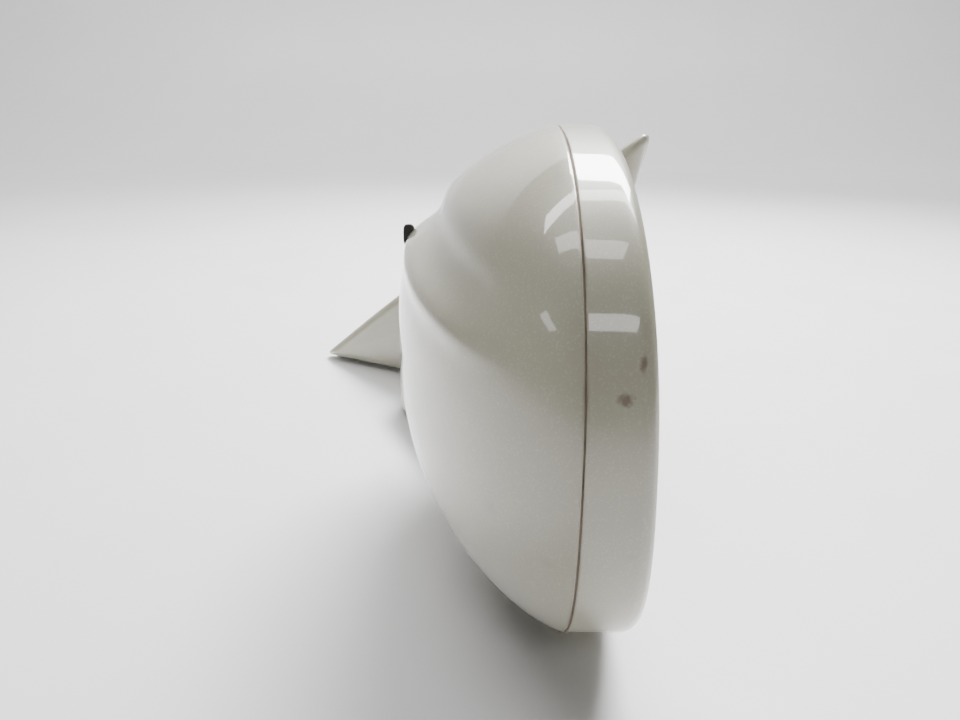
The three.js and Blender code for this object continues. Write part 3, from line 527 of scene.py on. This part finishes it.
def arm_face(inset, z, scales):
    """Flat rings scaled towards the pivot."""
    line = arm_outline(inset, -4.0)
    ring = PIVOT[:2] + (line - PIVOT[:2]) * scales[:, None, None]
    return np.concatenate([ring, np.full(ring.shape[:2] + (1,), z)], -1)


def arm_block(inset, z0, z1):
    """The plan as a solid block, for cutting."""
    line = arm_outline(inset, -4.0)
    low, high = (np.column_stack([line, np.full(len(line), z)]) for z in (z0, z1))
    return closed_grid(np.stack([low, high]))


top_roll = [arm_ring(ARM_EDGE * (1 - math.cos(a)), ARM_TOP - ARM_EDGE * (1 - math.sin(a))) for a in turn]
skirt = [arm_ring(0, ARM_BOTTOM + 0.8), arm_ring(0.8, ARM_BOTTOM), arm_ring(WALL, ARM_BOTTOM)]
under_top = [arm_ring(WALL, ARM_TOP - WALL)]
spread = np.linspace(0.1, 0.97, 12)
arm_grid = np.concatenate([
    arm_face(ARM_EDGE, ARM_TOP, spread), np.array(top_roll), np.array(skirt),
    np.array(under_top), arm_face(WALL, ARM_TOP - WALL, spread[::-1]),
])
arm = make_piece("arm_skin", [closed_grid(arm_grid)], "base", ["sail_cover"], 45)
cut(arm, *drum(PIVOT[0], PIVOT[1], COLLAR_RADIUS - WALL, ARM_TOP - 6, ARM_TOP + 2))
cut(sail, *arm_block(WALL + 0.1, ARM_BOTTOM - 8, ARM_TOP - WALL))

# %% Collar and screw bosses


def turned(x, y, profile, sides=96):
    """A closed profile of radius and height turned about an upright axis."""
    angle = np.arange(sides) / sides * 2 * np.pi
    radius, height = profile[:, :1], profile[:, 1:]
    level = np.broadcast_to(height, (len(profile), sides))
    grid = [x + radius * np.cos(angle), y + radius * np.sin(angle), level]
    return closed_grid(np.stack(grid, -1), tube=True)


rounding = np.linspace(0, np.pi / 2, 7)
LIP_ROLL, COLLAR_FOOT = 0.9, ARM_TOP - 3
collar_lip = np.column_stack([COLLAR_RADIUS - LIP_ROLL * (1 - np.cos(rounding)),
                              COLLAR_TOP - LIP_ROLL * (1 - np.sin(rounding))])
collar_bore = [[COLLAR_RADIUS - WALL, COLLAR_TOP], [COLLAR_RADIUS - WALL, COLLAR_FOOT]]
collar_profile = np.concatenate([[[COLLAR_RADIUS, COLLAR_FOOT]], collar_lip, collar_bore])
collar = make_piece("collar_skin", [turned(PIVOT[0], PIVOT[1], collar_profile)], "base", ["sail_cover"],
                    45)


def boss(x, z):
    """A hollow boss on the inside of the sail that takes one cover screw."""
    y0, y1 = -10.6, -7.6
    points, quads, triangles = turned(x, z, np.array([[3.0, y0], [3.0, y1], [1.8, y1], [1.8, y0]]), 32)
    return points[:, [0, 2, 1]], quads[:, ::-1], triangles[:, ::-1]


BOSS_SPOTS = [(-86, -38), (22, 28), (62, 62)]
bosses = make_piece("sail_bosses", [boss(x, z) for x, z in BOSS_SPOTS], "base", ["sail_cover"],
                    45)

# %% [markdown]
# ## Shared effects
#
# Real surfaces are never one even colour. Four effects turn up on many of these pieces, so each is
# built once as a node group: fine grain as a normal, handling marks as a value, dust that settles on
# what faces up, and a soft spot for a single mark at a known place. Every group gives only masks,
# values or normals, and the shader itself stays in each material.

# %% Node helpers


def add(tree, kind, settings=(), **inputs):
    """A node with its properties set. An input is named or numbered, and takes a value or a socket."""
    made = tree.nodes.new(kind)
    for key, value in dict(settings).items():
        setattr(made, key, value)
    for key, value in inputs.items():
        socket = made.inputs[int(key[1:])] if key[1:].isdigit() else made.inputs[key.replace("_", " ")]
        if isinstance(value, bpy.types.NodeSocket):
            tree.links.new(value, socket)
        else:
            socket.default_value = value
    return made


def new_group(name, inputs, outputs):
    """An empty node group. Inputs are name: (socket type, default), and outputs are name: socket type."""
    group = bpy.data.node_groups.new(name, "ShaderNodeTree")
    for key, (kind, default) in inputs.items():
        socket = group.interface.new_socket(key, in_out="INPUT", socket_type="NodeSocket" + kind)
        socket.default_value = default
    for key, kind in outputs.items():
        group.interface.new_socket(key, in_out="OUTPUT", socket_type="NodeSocket" + kind)
    return group, group.nodes.new("NodeGroupInput").outputs, group.nodes.new("NodeGroupOutput").inputs


def place(tree, group, **inputs):
    """Puts a group into a material and returns its outputs."""
    return add(tree, "ShaderNodeGroup", {"node_tree": group}, **inputs).outputs


def ramp(tree, value, low, high, to_low=0.0, to_high=1.0):
    """A value eased from to_low to to_high while it goes from low to high."""
    made = add(tree, "ShaderNodeMapRange", {"interpolation_type": "SMOOTHSTEP"}, Value=value)
    made.inputs["From Min"].default_value, made.inputs["From Max"].default_value = low, high
    made.inputs["To Min"].default_value, made.inputs["To Max"].default_value = to_low, to_high
    return made.outputs["Result"]


def mixed(tree, factor, a, b):
    """A colour mix from a to b."""
    made = add(tree, "ShaderNodeMix", {"data_type": "RGBA"})
    for socket, value in zip((made.inputs[0], made.inputs[6], made.inputs[7]), (factor, a, b)):
        if isinstance(value, bpy.types.NodeSocket):
            tree.links.new(value, socket)
        else:
            socket.default_value = (*value, 1) if isinstance(value, tuple) else value
    return made.outputs[2]


def calculate(tree, operation, a, b=0.0):
    """One sum, product or other operation on values."""
    return add(tree, "ShaderNodeMath", {"operation": operation, "use_clamp": True}, _0=a, _1=b).outputs[0]


def here(tree):
    """The place on the piece, in metres of the row frame."""
    return add(tree, "ShaderNodeTexCoord").outputs["Object"]


# %% Grain, handling, dust and spot


def make_grain():
    """Fine bumps: fractal noise of a size, as the height of a bump of a depth."""
    inputs = {"Size": ("Float", 500.0), "Depth": ("Float", 0.0001)}
    group, given, out = new_group("grain", inputs, {"Normal": "Vector"})
    noise = add(group, "ShaderNodeTexNoise", Vector=here(group), Scale=given["Size"], Detail=3.0)
    bump = add(group, "ShaderNodeBump", Height=noise.outputs["Fac"], Distance=given["Depth"])
    group.links.new(bump.outputs["Normal"], out["Normal"])
    return group


def make_handling():
    """Smears and wear: a low noise bent by another one, eased between two values."""
    inputs = {"Size": ("Float", 30.0), "Low": ("Float", 0.3), "High": ("Float", 0.5)}
    group, given, out = new_group("handling", inputs, {"Value": "Float"})
    noise = add(group, "ShaderNodeTexNoise", Vector=here(group), Scale=given["Size"], Detail=5.0,
                Distortion=1.5)
    span = add(group, "ShaderNodeMapRange", Value=noise.outputs["Fac"])
    span.inputs["From Min"].default_value, span.inputs["From Max"].default_value = 0.3, 0.7
    group.links.new(given["Low"], span.inputs["To Min"])
    group.links.new(given["High"], span.inputs["To Max"])
    group.links.new(span.outputs["Result"], out["Value"])
    return group


def make_dust():
    """Dust lies where the surface faces up, in patches: the normal's z times a noise."""
    group, given, out = new_group("dust", {"Amount": ("Float", 0.3)}, {"Mask": "Float"})
    normal = add(group, "ShaderNodeNewGeometry").outputs["Normal"]
    up = add(group, "ShaderNodeSeparateXYZ", Vector=normal).outputs["Z"]
    noise = add(group, "ShaderNodeTexNoise", Vector=here(group), Scale=60.0, Detail=6.0).outputs["Fac"]
    settled = calculate(group, "MULTIPLY", ramp(group, up, -0.1, 0.9), ramp(group, noise, 0.35, 0.75))
    group.links.new(calculate(group, "MULTIPLY", settled, given["Amount"]), out["Mask"])
    return group


def make_spot():
    """A ragged mark: 1 minus the distance from its centre over its size, with noise on its edge."""
    inputs = {"Centre": ("Vector", (0, 0, 0)), "Size": ("Vector", (0.002, 0.002, 0.002))}
    group, given, out = new_group("spot", inputs, {"Mask": "Float"})
    offset = add(group, "ShaderNodeVectorMath", {"operation": "SUBTRACT"}, _0=here(group), _1=given["Centre"])
    scaled = add(group, "ShaderNodeVectorMath", {"operation": "DIVIDE"}, _0=offset.outputs[0],
                 _1=given["Size"])
    reach = add(group, "ShaderNodeVectorMath", {"operation": "LENGTH"}, _0=scaled.outputs[0]).outputs["Value"]
    ragged = add(group, "ShaderNodeTexNoise", Vector=here(group), Scale=900.0, Detail=4.0).outputs["Fac"]
    rough_reach = add(group, "ShaderNodeMath", {"operation": "MULTIPLY_ADD"}, _0=ragged, _1=0.9,
                      _2=reach).outputs[0]
    group.links.new(ramp(group, rough_reach, 1.45, 0.7), out["Mask"])
    return group


GRAIN, HANDLING, DUST, SPOT = make_grain(), make_handling(), make_dust(), make_spot()
print("node groups", [group.name for group in bpy.data.node_groups])

# %% [markdown]
# ## Pearl paint
#
# Three-coat pearl white is a warm white ground, a layer of fine mica, and a thick clear lacquer. The
# mica is tiny flakes, a very fine cell pattern, and their glint is painted into the colour as lighter cells.
# The lacquer is the shader's coat, and it carries the sharp reflections. This mirror is second-hand:
# there is brown dirt in the seam, a scuff and a scrape on the rim, and a few dull marks lower down.

# %% Pearl paint


def new_finish(name, **sockets):
    """A material with its shader, whose even values are set on the shader's own sockets."""
    material = bpy.data.materials.new(name)
    material.use_nodes = True
    shader = material.node_tree.nodes["Principled BSDF"]
    for key, value in sockets.items():
        full = (*value, 1) if isinstance(value, tuple) else value
        shader.inputs[key.replace("_", " ")].default_value = full
    return material, material.node_tree, shader.inputs


def marks(tree, places):
    """The strongest of several spots, each with its centre and size in millimetres of the row frame."""
    total = None
    for centre, size in places:
        mask = place(tree, SPOT, Centre=tuple(v * MM for v in centre),
                     Size=tuple(v * MM for v in size))["Mask"]
        total = mask if total is None else calculate(tree, "MAXIMUM", total, mask)
    return total


def seam_distance(tree):
    """Distance from the seam's plane: the dot product with the forward direction, less the centre's."""
    along = add(tree, "ShaderNodeVectorMath", {"operation": "DOT_PRODUCT"}, _0=here(tree), _1=tuple(FORWARD))
    shifted = add(tree, "ShaderNodeMath", {"operation": "SUBTRACT"}, _0=along.outputs["Value"],
                  _1=float(HOUSING_CENTRE @ FORWARD) * MM)
    return add(tree, "ShaderNodeMath", {"operation": "ABSOLUTE"}, _0=shifted.outputs[0]).outputs[0]


SCUFFS = [((147.4, -215.2, 49.6), (2.4, 2.4, 2.2)), ((149.6, -211.2, 57.6), (1.1, 1.5, 4.6))]
DULL_MARKS = [((114.0, -215.8, 13.2), (4, 4, 2.4)), ((151.1, -215.2, 10.1), (2.5, 2.5, 1.6)),
              ((132.3, -220.3, 5.4), (3, 3, 2))]


def pearl_finish():
    """Warm white, fine mica painted as lighter glints, and clear lacquer, with the marks of use."""
    material, tree, shader = new_finish("pearl_paint", Metallic=0.0, Coat_Weight=1.0, Coat_Roughness=0.045,
                                        Coat_IOR=1.5, Specular_IOR_Level=0.6)
    cloud = add(tree, "ShaderNodeTexNoise", Vector=here(tree), Scale=14.0, Detail=2.0).outputs["Fac"]
    ground = mixed(tree, cloud, (0.40, 0.385, 0.285), (0.46, 0.445, 0.345))
    flakes = add(tree, "ShaderNodeTexVoronoi", Vector=here(tree), Scale=2600.0)
    flake_pick = add(tree, "ShaderNodeSeparateXYZ", Vector=flakes.outputs["Color"]).outputs["X"]
    # Painted glint: the brightest cells of the fine pattern are painted lighter in the colour, standing in
    # for light caught by the mica flakes.
    painted_glint = ramp(tree, flake_pick, 0.75, 1.0)
    ground = mixed(tree, calculate(tree, "MULTIPLY", painted_glint, 0.25), ground, (0.68, 0.66, 0.56))
    dirt_noise = add(tree, "ShaderNodeTexNoise", Vector=here(tree), Scale=45.0, Detail=5.0).outputs["Fac"]
    low = ramp(tree, add(tree, "ShaderNodeSeparateXYZ", Vector=here(tree)).outputs["Z"], 0.05, -0.03)
    in_seam = ramp(tree, seam_distance(tree), 0.0011, 0.0002)
    patchy = calculate(tree, "MAXIMUM", ramp(tree, dirt_noise, 0.35, 0.7), low)
    dirt = calculate(tree, "MULTIPLY", in_seam, calculate(tree, "MULTIPLY", patchy, 0.75))
    scuffs = calculate(tree, "MULTIPLY", marks(tree, SCUFFS), 0.75)
    dull = calculate(tree, "MULTIPLY", marks(tree, DULL_MARKS), 0.22)
    ground = mixed(tree, dull, ground, (0.34, 0.27, 0.2))
    ground = mixed(tree, dirt, ground, (0.16, 0.12, 0.085))
    colour = mixed(tree, scuffs, ground, (0.15, 0.095, 0.07))
    worn = calculate(tree, "MAXIMUM", scuffs, calculate(tree, "MAXIMUM", dull, dirt))
    smear = place(tree, HANDLING, Size=22.0, Low=0.32, High=0.42)["Value"]
    tree.links.new(colour, shader["Base Color"])
    tree.links.new(calculate(tree, "ADD", smear, calculate(tree, "MULTIPLY", worn, 0.3)), shader["Roughness"])
    tree.links.new(calculate(tree, "SUBTRACT", 1.0, worn), shader["Coat Weight"])
    tree.links.new(place(tree, GRAIN, Size=420.0, Depth=0.000012)["Normal"], shader["Normal"])
    return material


pearl = pearl_finish()

# %% [markdown]
# ## Black plastic and nylon
#
# Moulded parts that aren't painted have a spark-eroded grain, which is a fine noise in the height.
# The black parts are soft and even. The frame is nylon filled with glass fibre, and short fibres show
# in its skin as pale streaks, so its noise is stretched.

# %% Moulded plastics


def moulded_black():
    """Fine-grained black plastic with a little dust."""
    material, tree, shader = new_finish("black_plastic", Specular_IOR_Level=0.4)
    cloud = add(tree, "ShaderNodeTexNoise", Vector=here(tree), Scale=80.0, Detail=4.0).outputs["Fac"]
    black = mixed(tree, cloud, (0.018, 0.018, 0.019), (0.034, 0.034, 0.035))
    dusty = mixed(tree, place(tree, DUST, Amount=0.18)["Mask"], black, (0.3, 0.27, 0.23))
    tree.links.new(dusty, shader["Base Color"])
    tree.links.new(place(tree, HANDLING, Size=40.0, Low=0.42, High=0.6)["Value"], shader["Roughness"])
    tree.links.new(place(tree, GRAIN, Size=1400.0, Depth=0.00005)["Normal"], shader["Normal"])
    return material


def filled_nylon():
    """Dark grey nylon whose glass fibres show as short pale streaks."""
    material, tree, shader = new_finish("frame_plastic", Specular_IOR_Level=0.45)
    stretched = add(tree, "ShaderNodeMapping", Vector=here(tree), Scale=(260.0, 900.0, 260.0))
    fibres = add(tree, "ShaderNodeTexNoise", Vector=stretched.outputs[0], Scale=1.0,
                 Detail=4.0).outputs["Fac"]
    grey = mixed(tree, ramp(tree, fibres, 0.52, 0.72), (0.05, 0.05, 0.054), (0.15, 0.15, 0.155))
    tree.links.new(grey, shader["Base Color"])
    tree.links.new(ramp(tree, fibres, 0.4, 0.7, 0.42, 0.6), shader["Roughness"])
    tree.links.new(place(tree, GRAIN, Size=800.0, Depth=0.00006)["Normal"], shader["Normal"])
    return material


black_plastic, nylon = moulded_black(), filled_nylon()

# %% [markdown]
# ## Rubber
#
# The gasket, the seals and the grommet are matt rubber that has greyed a little and holds dust. The
# seal in the seam has a brown film of wax and road dirt over it, so it gets its own finish.

# %% Rubber


def matt_rubber(name, film, amount):
    """Black rubber under a patchy film."""
    material, tree, shader = new_finish(name, Specular_IOR_Level=0.3)
    patches = add(tree, "ShaderNodeTexNoise", Vector=here(tree), Scale=120.0, Detail=5.0).outputs["Fac"]
    worn = mixed(tree, ramp(tree, patches, 0.35, 0.7), (0.014, 0.014, 0.015), (0.032, 0.031, 0.03))
    cover = calculate(tree, "MAXIMUM", place(tree, DUST, Amount=0.25)["Mask"],
                      ramp(tree, patches, 0.2, 0.6, amount * 0.6, amount))
    tree.links.new(mixed(tree, cover, worn, film), shader["Base Color"])
    tree.links.new(ramp(tree, patches, 0.3, 0.7, 0.6, 0.85), shader["Roughness"])
    tree.links.new(place(tree, GRAIN, Size=900.0, Depth=0.00008)["Normal"], shader["Normal"])
    return material


rubber = matt_rubber("rubber", (0.2, 0.18, 0.16), 0.06)
dirty_seal = matt_rubber("dirty_seal", (0.34, 0.27, 0.21), 0.9)

# %% [markdown]
# ## Mirror glass and heater
#
# The glass is silver seen through a clear plate, which a metal with almost no roughness does well. A
# faint wiping haze keeps it from looking like a hole. Behind it lies an amber heater film with a
# printed track that runs to and fro, drawn with a wave pattern.

# %% Glass and heater


def silvered_glass():
    """Silver with a light haze of wiping marks."""
    material, tree, shader = new_finish("mirror_glass", Metallic=1.0, Coat_Weight=1.0, Coat_Roughness=0.02)
    haze = place(tree, HANDLING, Size=18.0, Low=0.012, High=0.07)["Value"]
    specks = add(tree, "ShaderNodeTexNoise", Vector=here(tree), Scale=300.0, Detail=6.0).outputs["Fac"]
    tree.links.new(mixed(tree, ramp(tree, specks, 0.66, 0.8), (0.86, 0.88, 0.9), (0.66, 0.66, 0.64)),
                   shader["Base Color"])
    tree.links.new(haze, shader["Roughness"])
    return material


def heater_film():
    """Amber film with a dark printed track."""
    material, tree, shader = new_finish("heater_foil", Coat_Weight=0.4)
    track = add(tree, "ShaderNodeTexWave", {"bands_direction": "Z"}, Vector=here(tree), Scale=42.0,
                Distortion=0.6)
    film = mixed(tree, ramp(tree, track.outputs["Fac"], 0.45, 0.6), (0.42, 0.25, 0.08), (0.1, 0.09, 0.085))
    tree.links.new(film, shader["Base Color"])
    tree.links.new(place(tree, HANDLING, Size=30.0, Low=0.25, High=0.45)["Value"], shader["Roughness"])
    return material


silver, heater = silvered_glass(), heater_film()

# %% [markdown]
# ## Metals and acetal
#
# The bracket is die-cast: a grainy, tumbled skin. Screws and the shaft are zinc-plated, and the
# passivation gives them a faint yellow and blue cast. The spring is dark oiled wire. The worms, the
# plungers and the washer are natural acetal, a slightly translucent white with a satin skin.

# %% Metals and acetal


def cast_metal():
    """Tumbled die-cast alloy with darker pores."""
    material, tree, shader = new_finish("die_cast", Metallic=1.0)
    pores = add(tree, "ShaderNodeTexNoise", Vector=here(tree), Scale=900.0, Detail=5.0).outputs["Fac"]
    tree.links.new(mixed(tree, ramp(tree, pores, 0.35, 0.62), (0.4, 0.405, 0.41), (0.54, 0.545, 0.555)),
                   shader["Base Color"])
    tree.links.new(ramp(tree, pores, 0.3, 0.7, 0.52, 0.4), shader["Roughness"])
    tree.links.new(place(tree, GRAIN, Size=1200.0, Depth=0.00006)["Normal"], shader["Normal"])
    return material


def zinc_plate():
    """Bright zinc with a faint yellow and blue cast."""
    material, tree, shader = new_finish("plated_steel", Metallic=1.0)
    cast = add(tree, "ShaderNodeTexNoise", Vector=here(tree), Scale=160.0, Detail=3.0,
               Distortion=2.0).outputs["Fac"]
    tree.links.new(mixed(tree, ramp(tree, cast, 0.35, 0.65), (0.62, 0.6, 0.5), (0.56, 0.6, 0.66)),
                   shader["Base Color"])
    tree.links.new(place(tree, HANDLING, Size=90.0, Low=0.22, High=0.4)["Value"], shader["Roughness"])
    tree.links.new(place(tree, GRAIN, Size=1100.0, Depth=0.00003)["Normal"], shader["Normal"])
    return material


def oiled_wire():
    """Dark drawn wire, streaked by oil."""
    material, tree, shader = new_finish("spring_steel", Metallic=1.0)
    oil = add(tree, "ShaderNodeTexNoise", Vector=here(tree), Scale=200.0, Detail=4.0).outputs["Fac"]
    tree.links.new(mixed(tree, oil, (0.16, 0.15, 0.145), (0.38, 0.37, 0.36)), shader["Base Color"])
    tree.links.new(ramp(tree, oil, 0.3, 0.7, 0.28, 0.5), shader["Roughness"])
    return material


def natural_acetal():
    """Milky white acetal with a satin skin and a trace of grease."""
    material, tree, shader = new_finish("white_acetal", Specular_IOR_Level=0.5)
    grease = add(tree, "ShaderNodeTexNoise", Vector=here(tree), Scale=150.0, Detail=4.0).outputs["Fac"]
    tree.links.new(mixed(tree, ramp(tree, grease, 0.5, 0.75), (0.78, 0.76, 0.7), (0.6, 0.55, 0.44)),
                   shader["Base Color"])
    tree.links.new(ramp(tree, grease, 0.45, 0.75, 0.45, 0.25), shader["Roughness"])
    tree.links.new(place(tree, GRAIN, Size=900.0, Depth=0.00003)["Normal"], shader["Normal"])
    return material


die_cast, zinc, wire, acetal = cast_metal(), zinc_plate(), oiled_wire(), natural_acetal()

# %% [markdown]
# ## Which piece gets which finish
#
# The engineering pieces keep their shapes, so a finish is simply put on each of them by its name.

# %% Finishes
FINISHES = {
    "black_plastic": (black_plastic, ["glass_holder", "arm_lid", "actuator_case"]),
    "frame_plastic": (nylon, ["housing_frame", "motor"]),
    "rubber": (rubber, ["fold_bumper", "door_gasket", "pivot_seal", "harness_grommet"]),
    "heater": (heater, ["heater_pad"]),
    "die_cast": (die_cast, ["base_bracket", "tilt_cross"]),
    "acetal": (acetal, ["plunger", "worm", "thrust_washer"]),
    "wire": (wire, ["fold_spring"]),
}


def finish_of(name):
    """The finish whose list holds the start of the name, or zinc plate."""
    for material, starts in FINISHES.values():
        if any(name.startswith(start) for start in starts):
            return material
    return zinc


def put_on(piece, material):
    """Makes a finish the only one on a piece."""
    piece.data.materials.clear()
    piece.data.materials.append(material)


for name, node in nodes.items():
    put_on(node, finish_of(name))
for piece in (front, rim, sail, arm, collar, bosses):
    put_on(piece, pearl)
put_on(seal, dirty_seal)
put_on(bumper, rubber)
put_on(glass, silver)
print({material.name: material.users for material in bpy.data.materials})

# %% [markdown]
# ## Floor, light and camera
#
# The mirror stands on a white board that sweeps up behind it. The room is bright overhead and beyond
# the board and dark on the camera's side, which gives the shells their long soft shading. Three
# lamps like ceiling tubes make the small sharp highlights, a key from behind draws the shoulder, and
# a wide wash lights the board. The camera stands outboard and a little above.

# %% Floor
AZIMUTH, PITCH = math.radians(29.2), math.radians(20)
RIGHT = np.array([math.cos(AZIMUTH), math.sin(AZIMUTH), 0.0])
AWAY = np.array([-math.sin(AZIMUTH), math.cos(AZIMUTH), 0.0])


def sweep_floor():
    """A board that runs flat, then bends up in a quarter circle of half a metre, then stands upright."""
    along, across = np.linspace(-2.0, 3.4, 110), np.linspace(-3, 3, 60)
    bend, radius = 1.3, 0.5  # metres: where the board starts to bend, and the bend's radius
    arc = np.clip((along - bend) / (radius * np.pi / 2), 0, 1) * np.pi / 2
    depth = np.minimum(along, bend) + radius * np.sin(arc)
    height = radius * (1 - np.cos(arc)) + np.maximum(along - bend - radius * np.pi / 2, 0)
    base = np.array([0.0, 0.0, FLOOR_Z * MM])
    grid = base + depth[:, None, None] * AWAY + across[None, :, None] * RIGHT + height[:, None, None] * UP
    mesh = bpy.data.meshes.new("floor")
    mesh.from_pydata(grid.reshape(-1, 3).tolist(), [], grid_faces(110, 60, False, False, True).tolist())
    mesh.shade_smooth()
    board = bpy.data.objects.new("floor", mesh)
    bpy.context.scene.collection.objects.link(board)
    return board


def board_finish():
    """White board with a faint unevenness."""
    material, tree, shader = new_finish("floor", Specular_IOR_Level=0.4)
    cloud = add(tree, "ShaderNodeTexNoise", Vector=here(tree), Scale=6.0, Detail=5.0).outputs["Fac"]
    tree.links.new(mixed(tree, cloud, (0.74, 0.735, 0.745), (0.8, 0.795, 0.805)), shader["Base Color"])
    tree.links.new(place(tree, HANDLING, Size=12.0, Low=0.4, High=0.55)["Value"], shader["Roughness"])
    return material


floor = sweep_floor()
put_on(floor, board_finish())

# %% Lights


def area_light(name, place_at, target, width, height, watts):
    """A rectangular light at a place, turned to face a target, in metres."""
    light = bpy.data.lights.new(name, "AREA")
    light.shape, light.size, light.size_y, light.energy = "RECTANGLE", width, height, watts
    lamp = bpy.data.objects.new(name, light)
    bpy.context.scene.collection.objects.link(lamp)
    lamp.location = place_at
    lamp.rotation_euler = (Vector(target) - Vector(place_at)).to_track_quat("-Z", "Y").to_euler()
    return lamp


TUBE_ROWS = [
    ("tubes_over", (-0.16, -0.335), 1.15, 0.2, 12.7, 5.0),
    ("tubes_near", (0.93, -1.08), 0.36, 0.34, 16.5, 3.0),
    ("tubes_far", (-1.8, -1.89), 0.5, 0.6, 16.5, 5.0),
]
for name, middle, length, width, angle, watts in TUBE_ROWS:
    tubes = area_light(name, (*middle, 1.2), (*middle, 0), length, width, watts)
    tubes.rotation_euler = (0, 0, math.radians(angle))


def stand_at(right, away, up):
    """A place given by how far right, away and up it is, in metres, as the camera sees them."""
    return tuple(right * RIGHT + away * AWAY + up * UP)


key = area_light("key_behind", stand_at(0.35, 0.7, 1.1), stand_at(0.05, 0.12, 0.0), 0.8, 0.45, 15.0)
key.data.spread = math.radians(80)
area_light("wash_behind", stand_at(0.0, 0.7, 2.0), stand_at(0.0, 1.8, 0.7), 3.0, 0.6, 85.0)

# %% Room


def room_light():
    """The room's light: a dot product with the bright direction, eased. The lens sees it pale all round."""
    world = bpy.data.worlds.new("room")
    world.use_nodes = True
    tree = world.node_tree
    direction = add(tree, "ShaderNodeTexCoord").outputs["Generated"]
    bright = 0.55 * AWAY + 0.8 * UP - 0.35 * RIGHT
    bright /= np.linalg.norm(bright)
    toward = add(tree, "ShaderNodeVectorMath", {"operation": "DOT_PRODUCT"}, _0=direction, _1=tuple(bright))
    level = ramp(tree, toward.outputs["Value"], 0.2, 0.95, 0.005, 0.2)
    background = tree.nodes["Background"]
    background.inputs["Color"].default_value = (0.95, 0.96, 1.0, 1)
    seen = add(tree, "ShaderNodeLightPath").outputs["Is Camera Ray"]
    shown = add(tree, "ShaderNodeMath", {"operation": "MULTIPLY"}, _0=seen, _1=0.9).outputs[0]
    tree.links.new(add(tree, "ShaderNodeMath", {"operation": "MAXIMUM"}, _0=level, _1=shown).outputs[0],
                   background.inputs["Strength"])
    return world


bpy.context.scene.world = room_light()

# %% Camera
camera = bpy.data.objects.new("camera", bpy.data.cameras.new("camera"))
bpy.context.scene.collection.objects.link(camera)
camera.data.lens, camera.data.sensor_width = 28.125, 36
camera.data.clip_start, camera.data.clip_end = 0.01, 20
look = AWAY * math.cos(PITCH) - UP * math.sin(PITCH)
turned_to = Matrix((RIGHT, np.cross(RIGHT, look), -look)).transposed().to_4x4()
camera.matrix_world = Matrix.Translation((0.1933, -0.3629, 0.114)) @ turned_to
bpy.context.scene.camera = camera
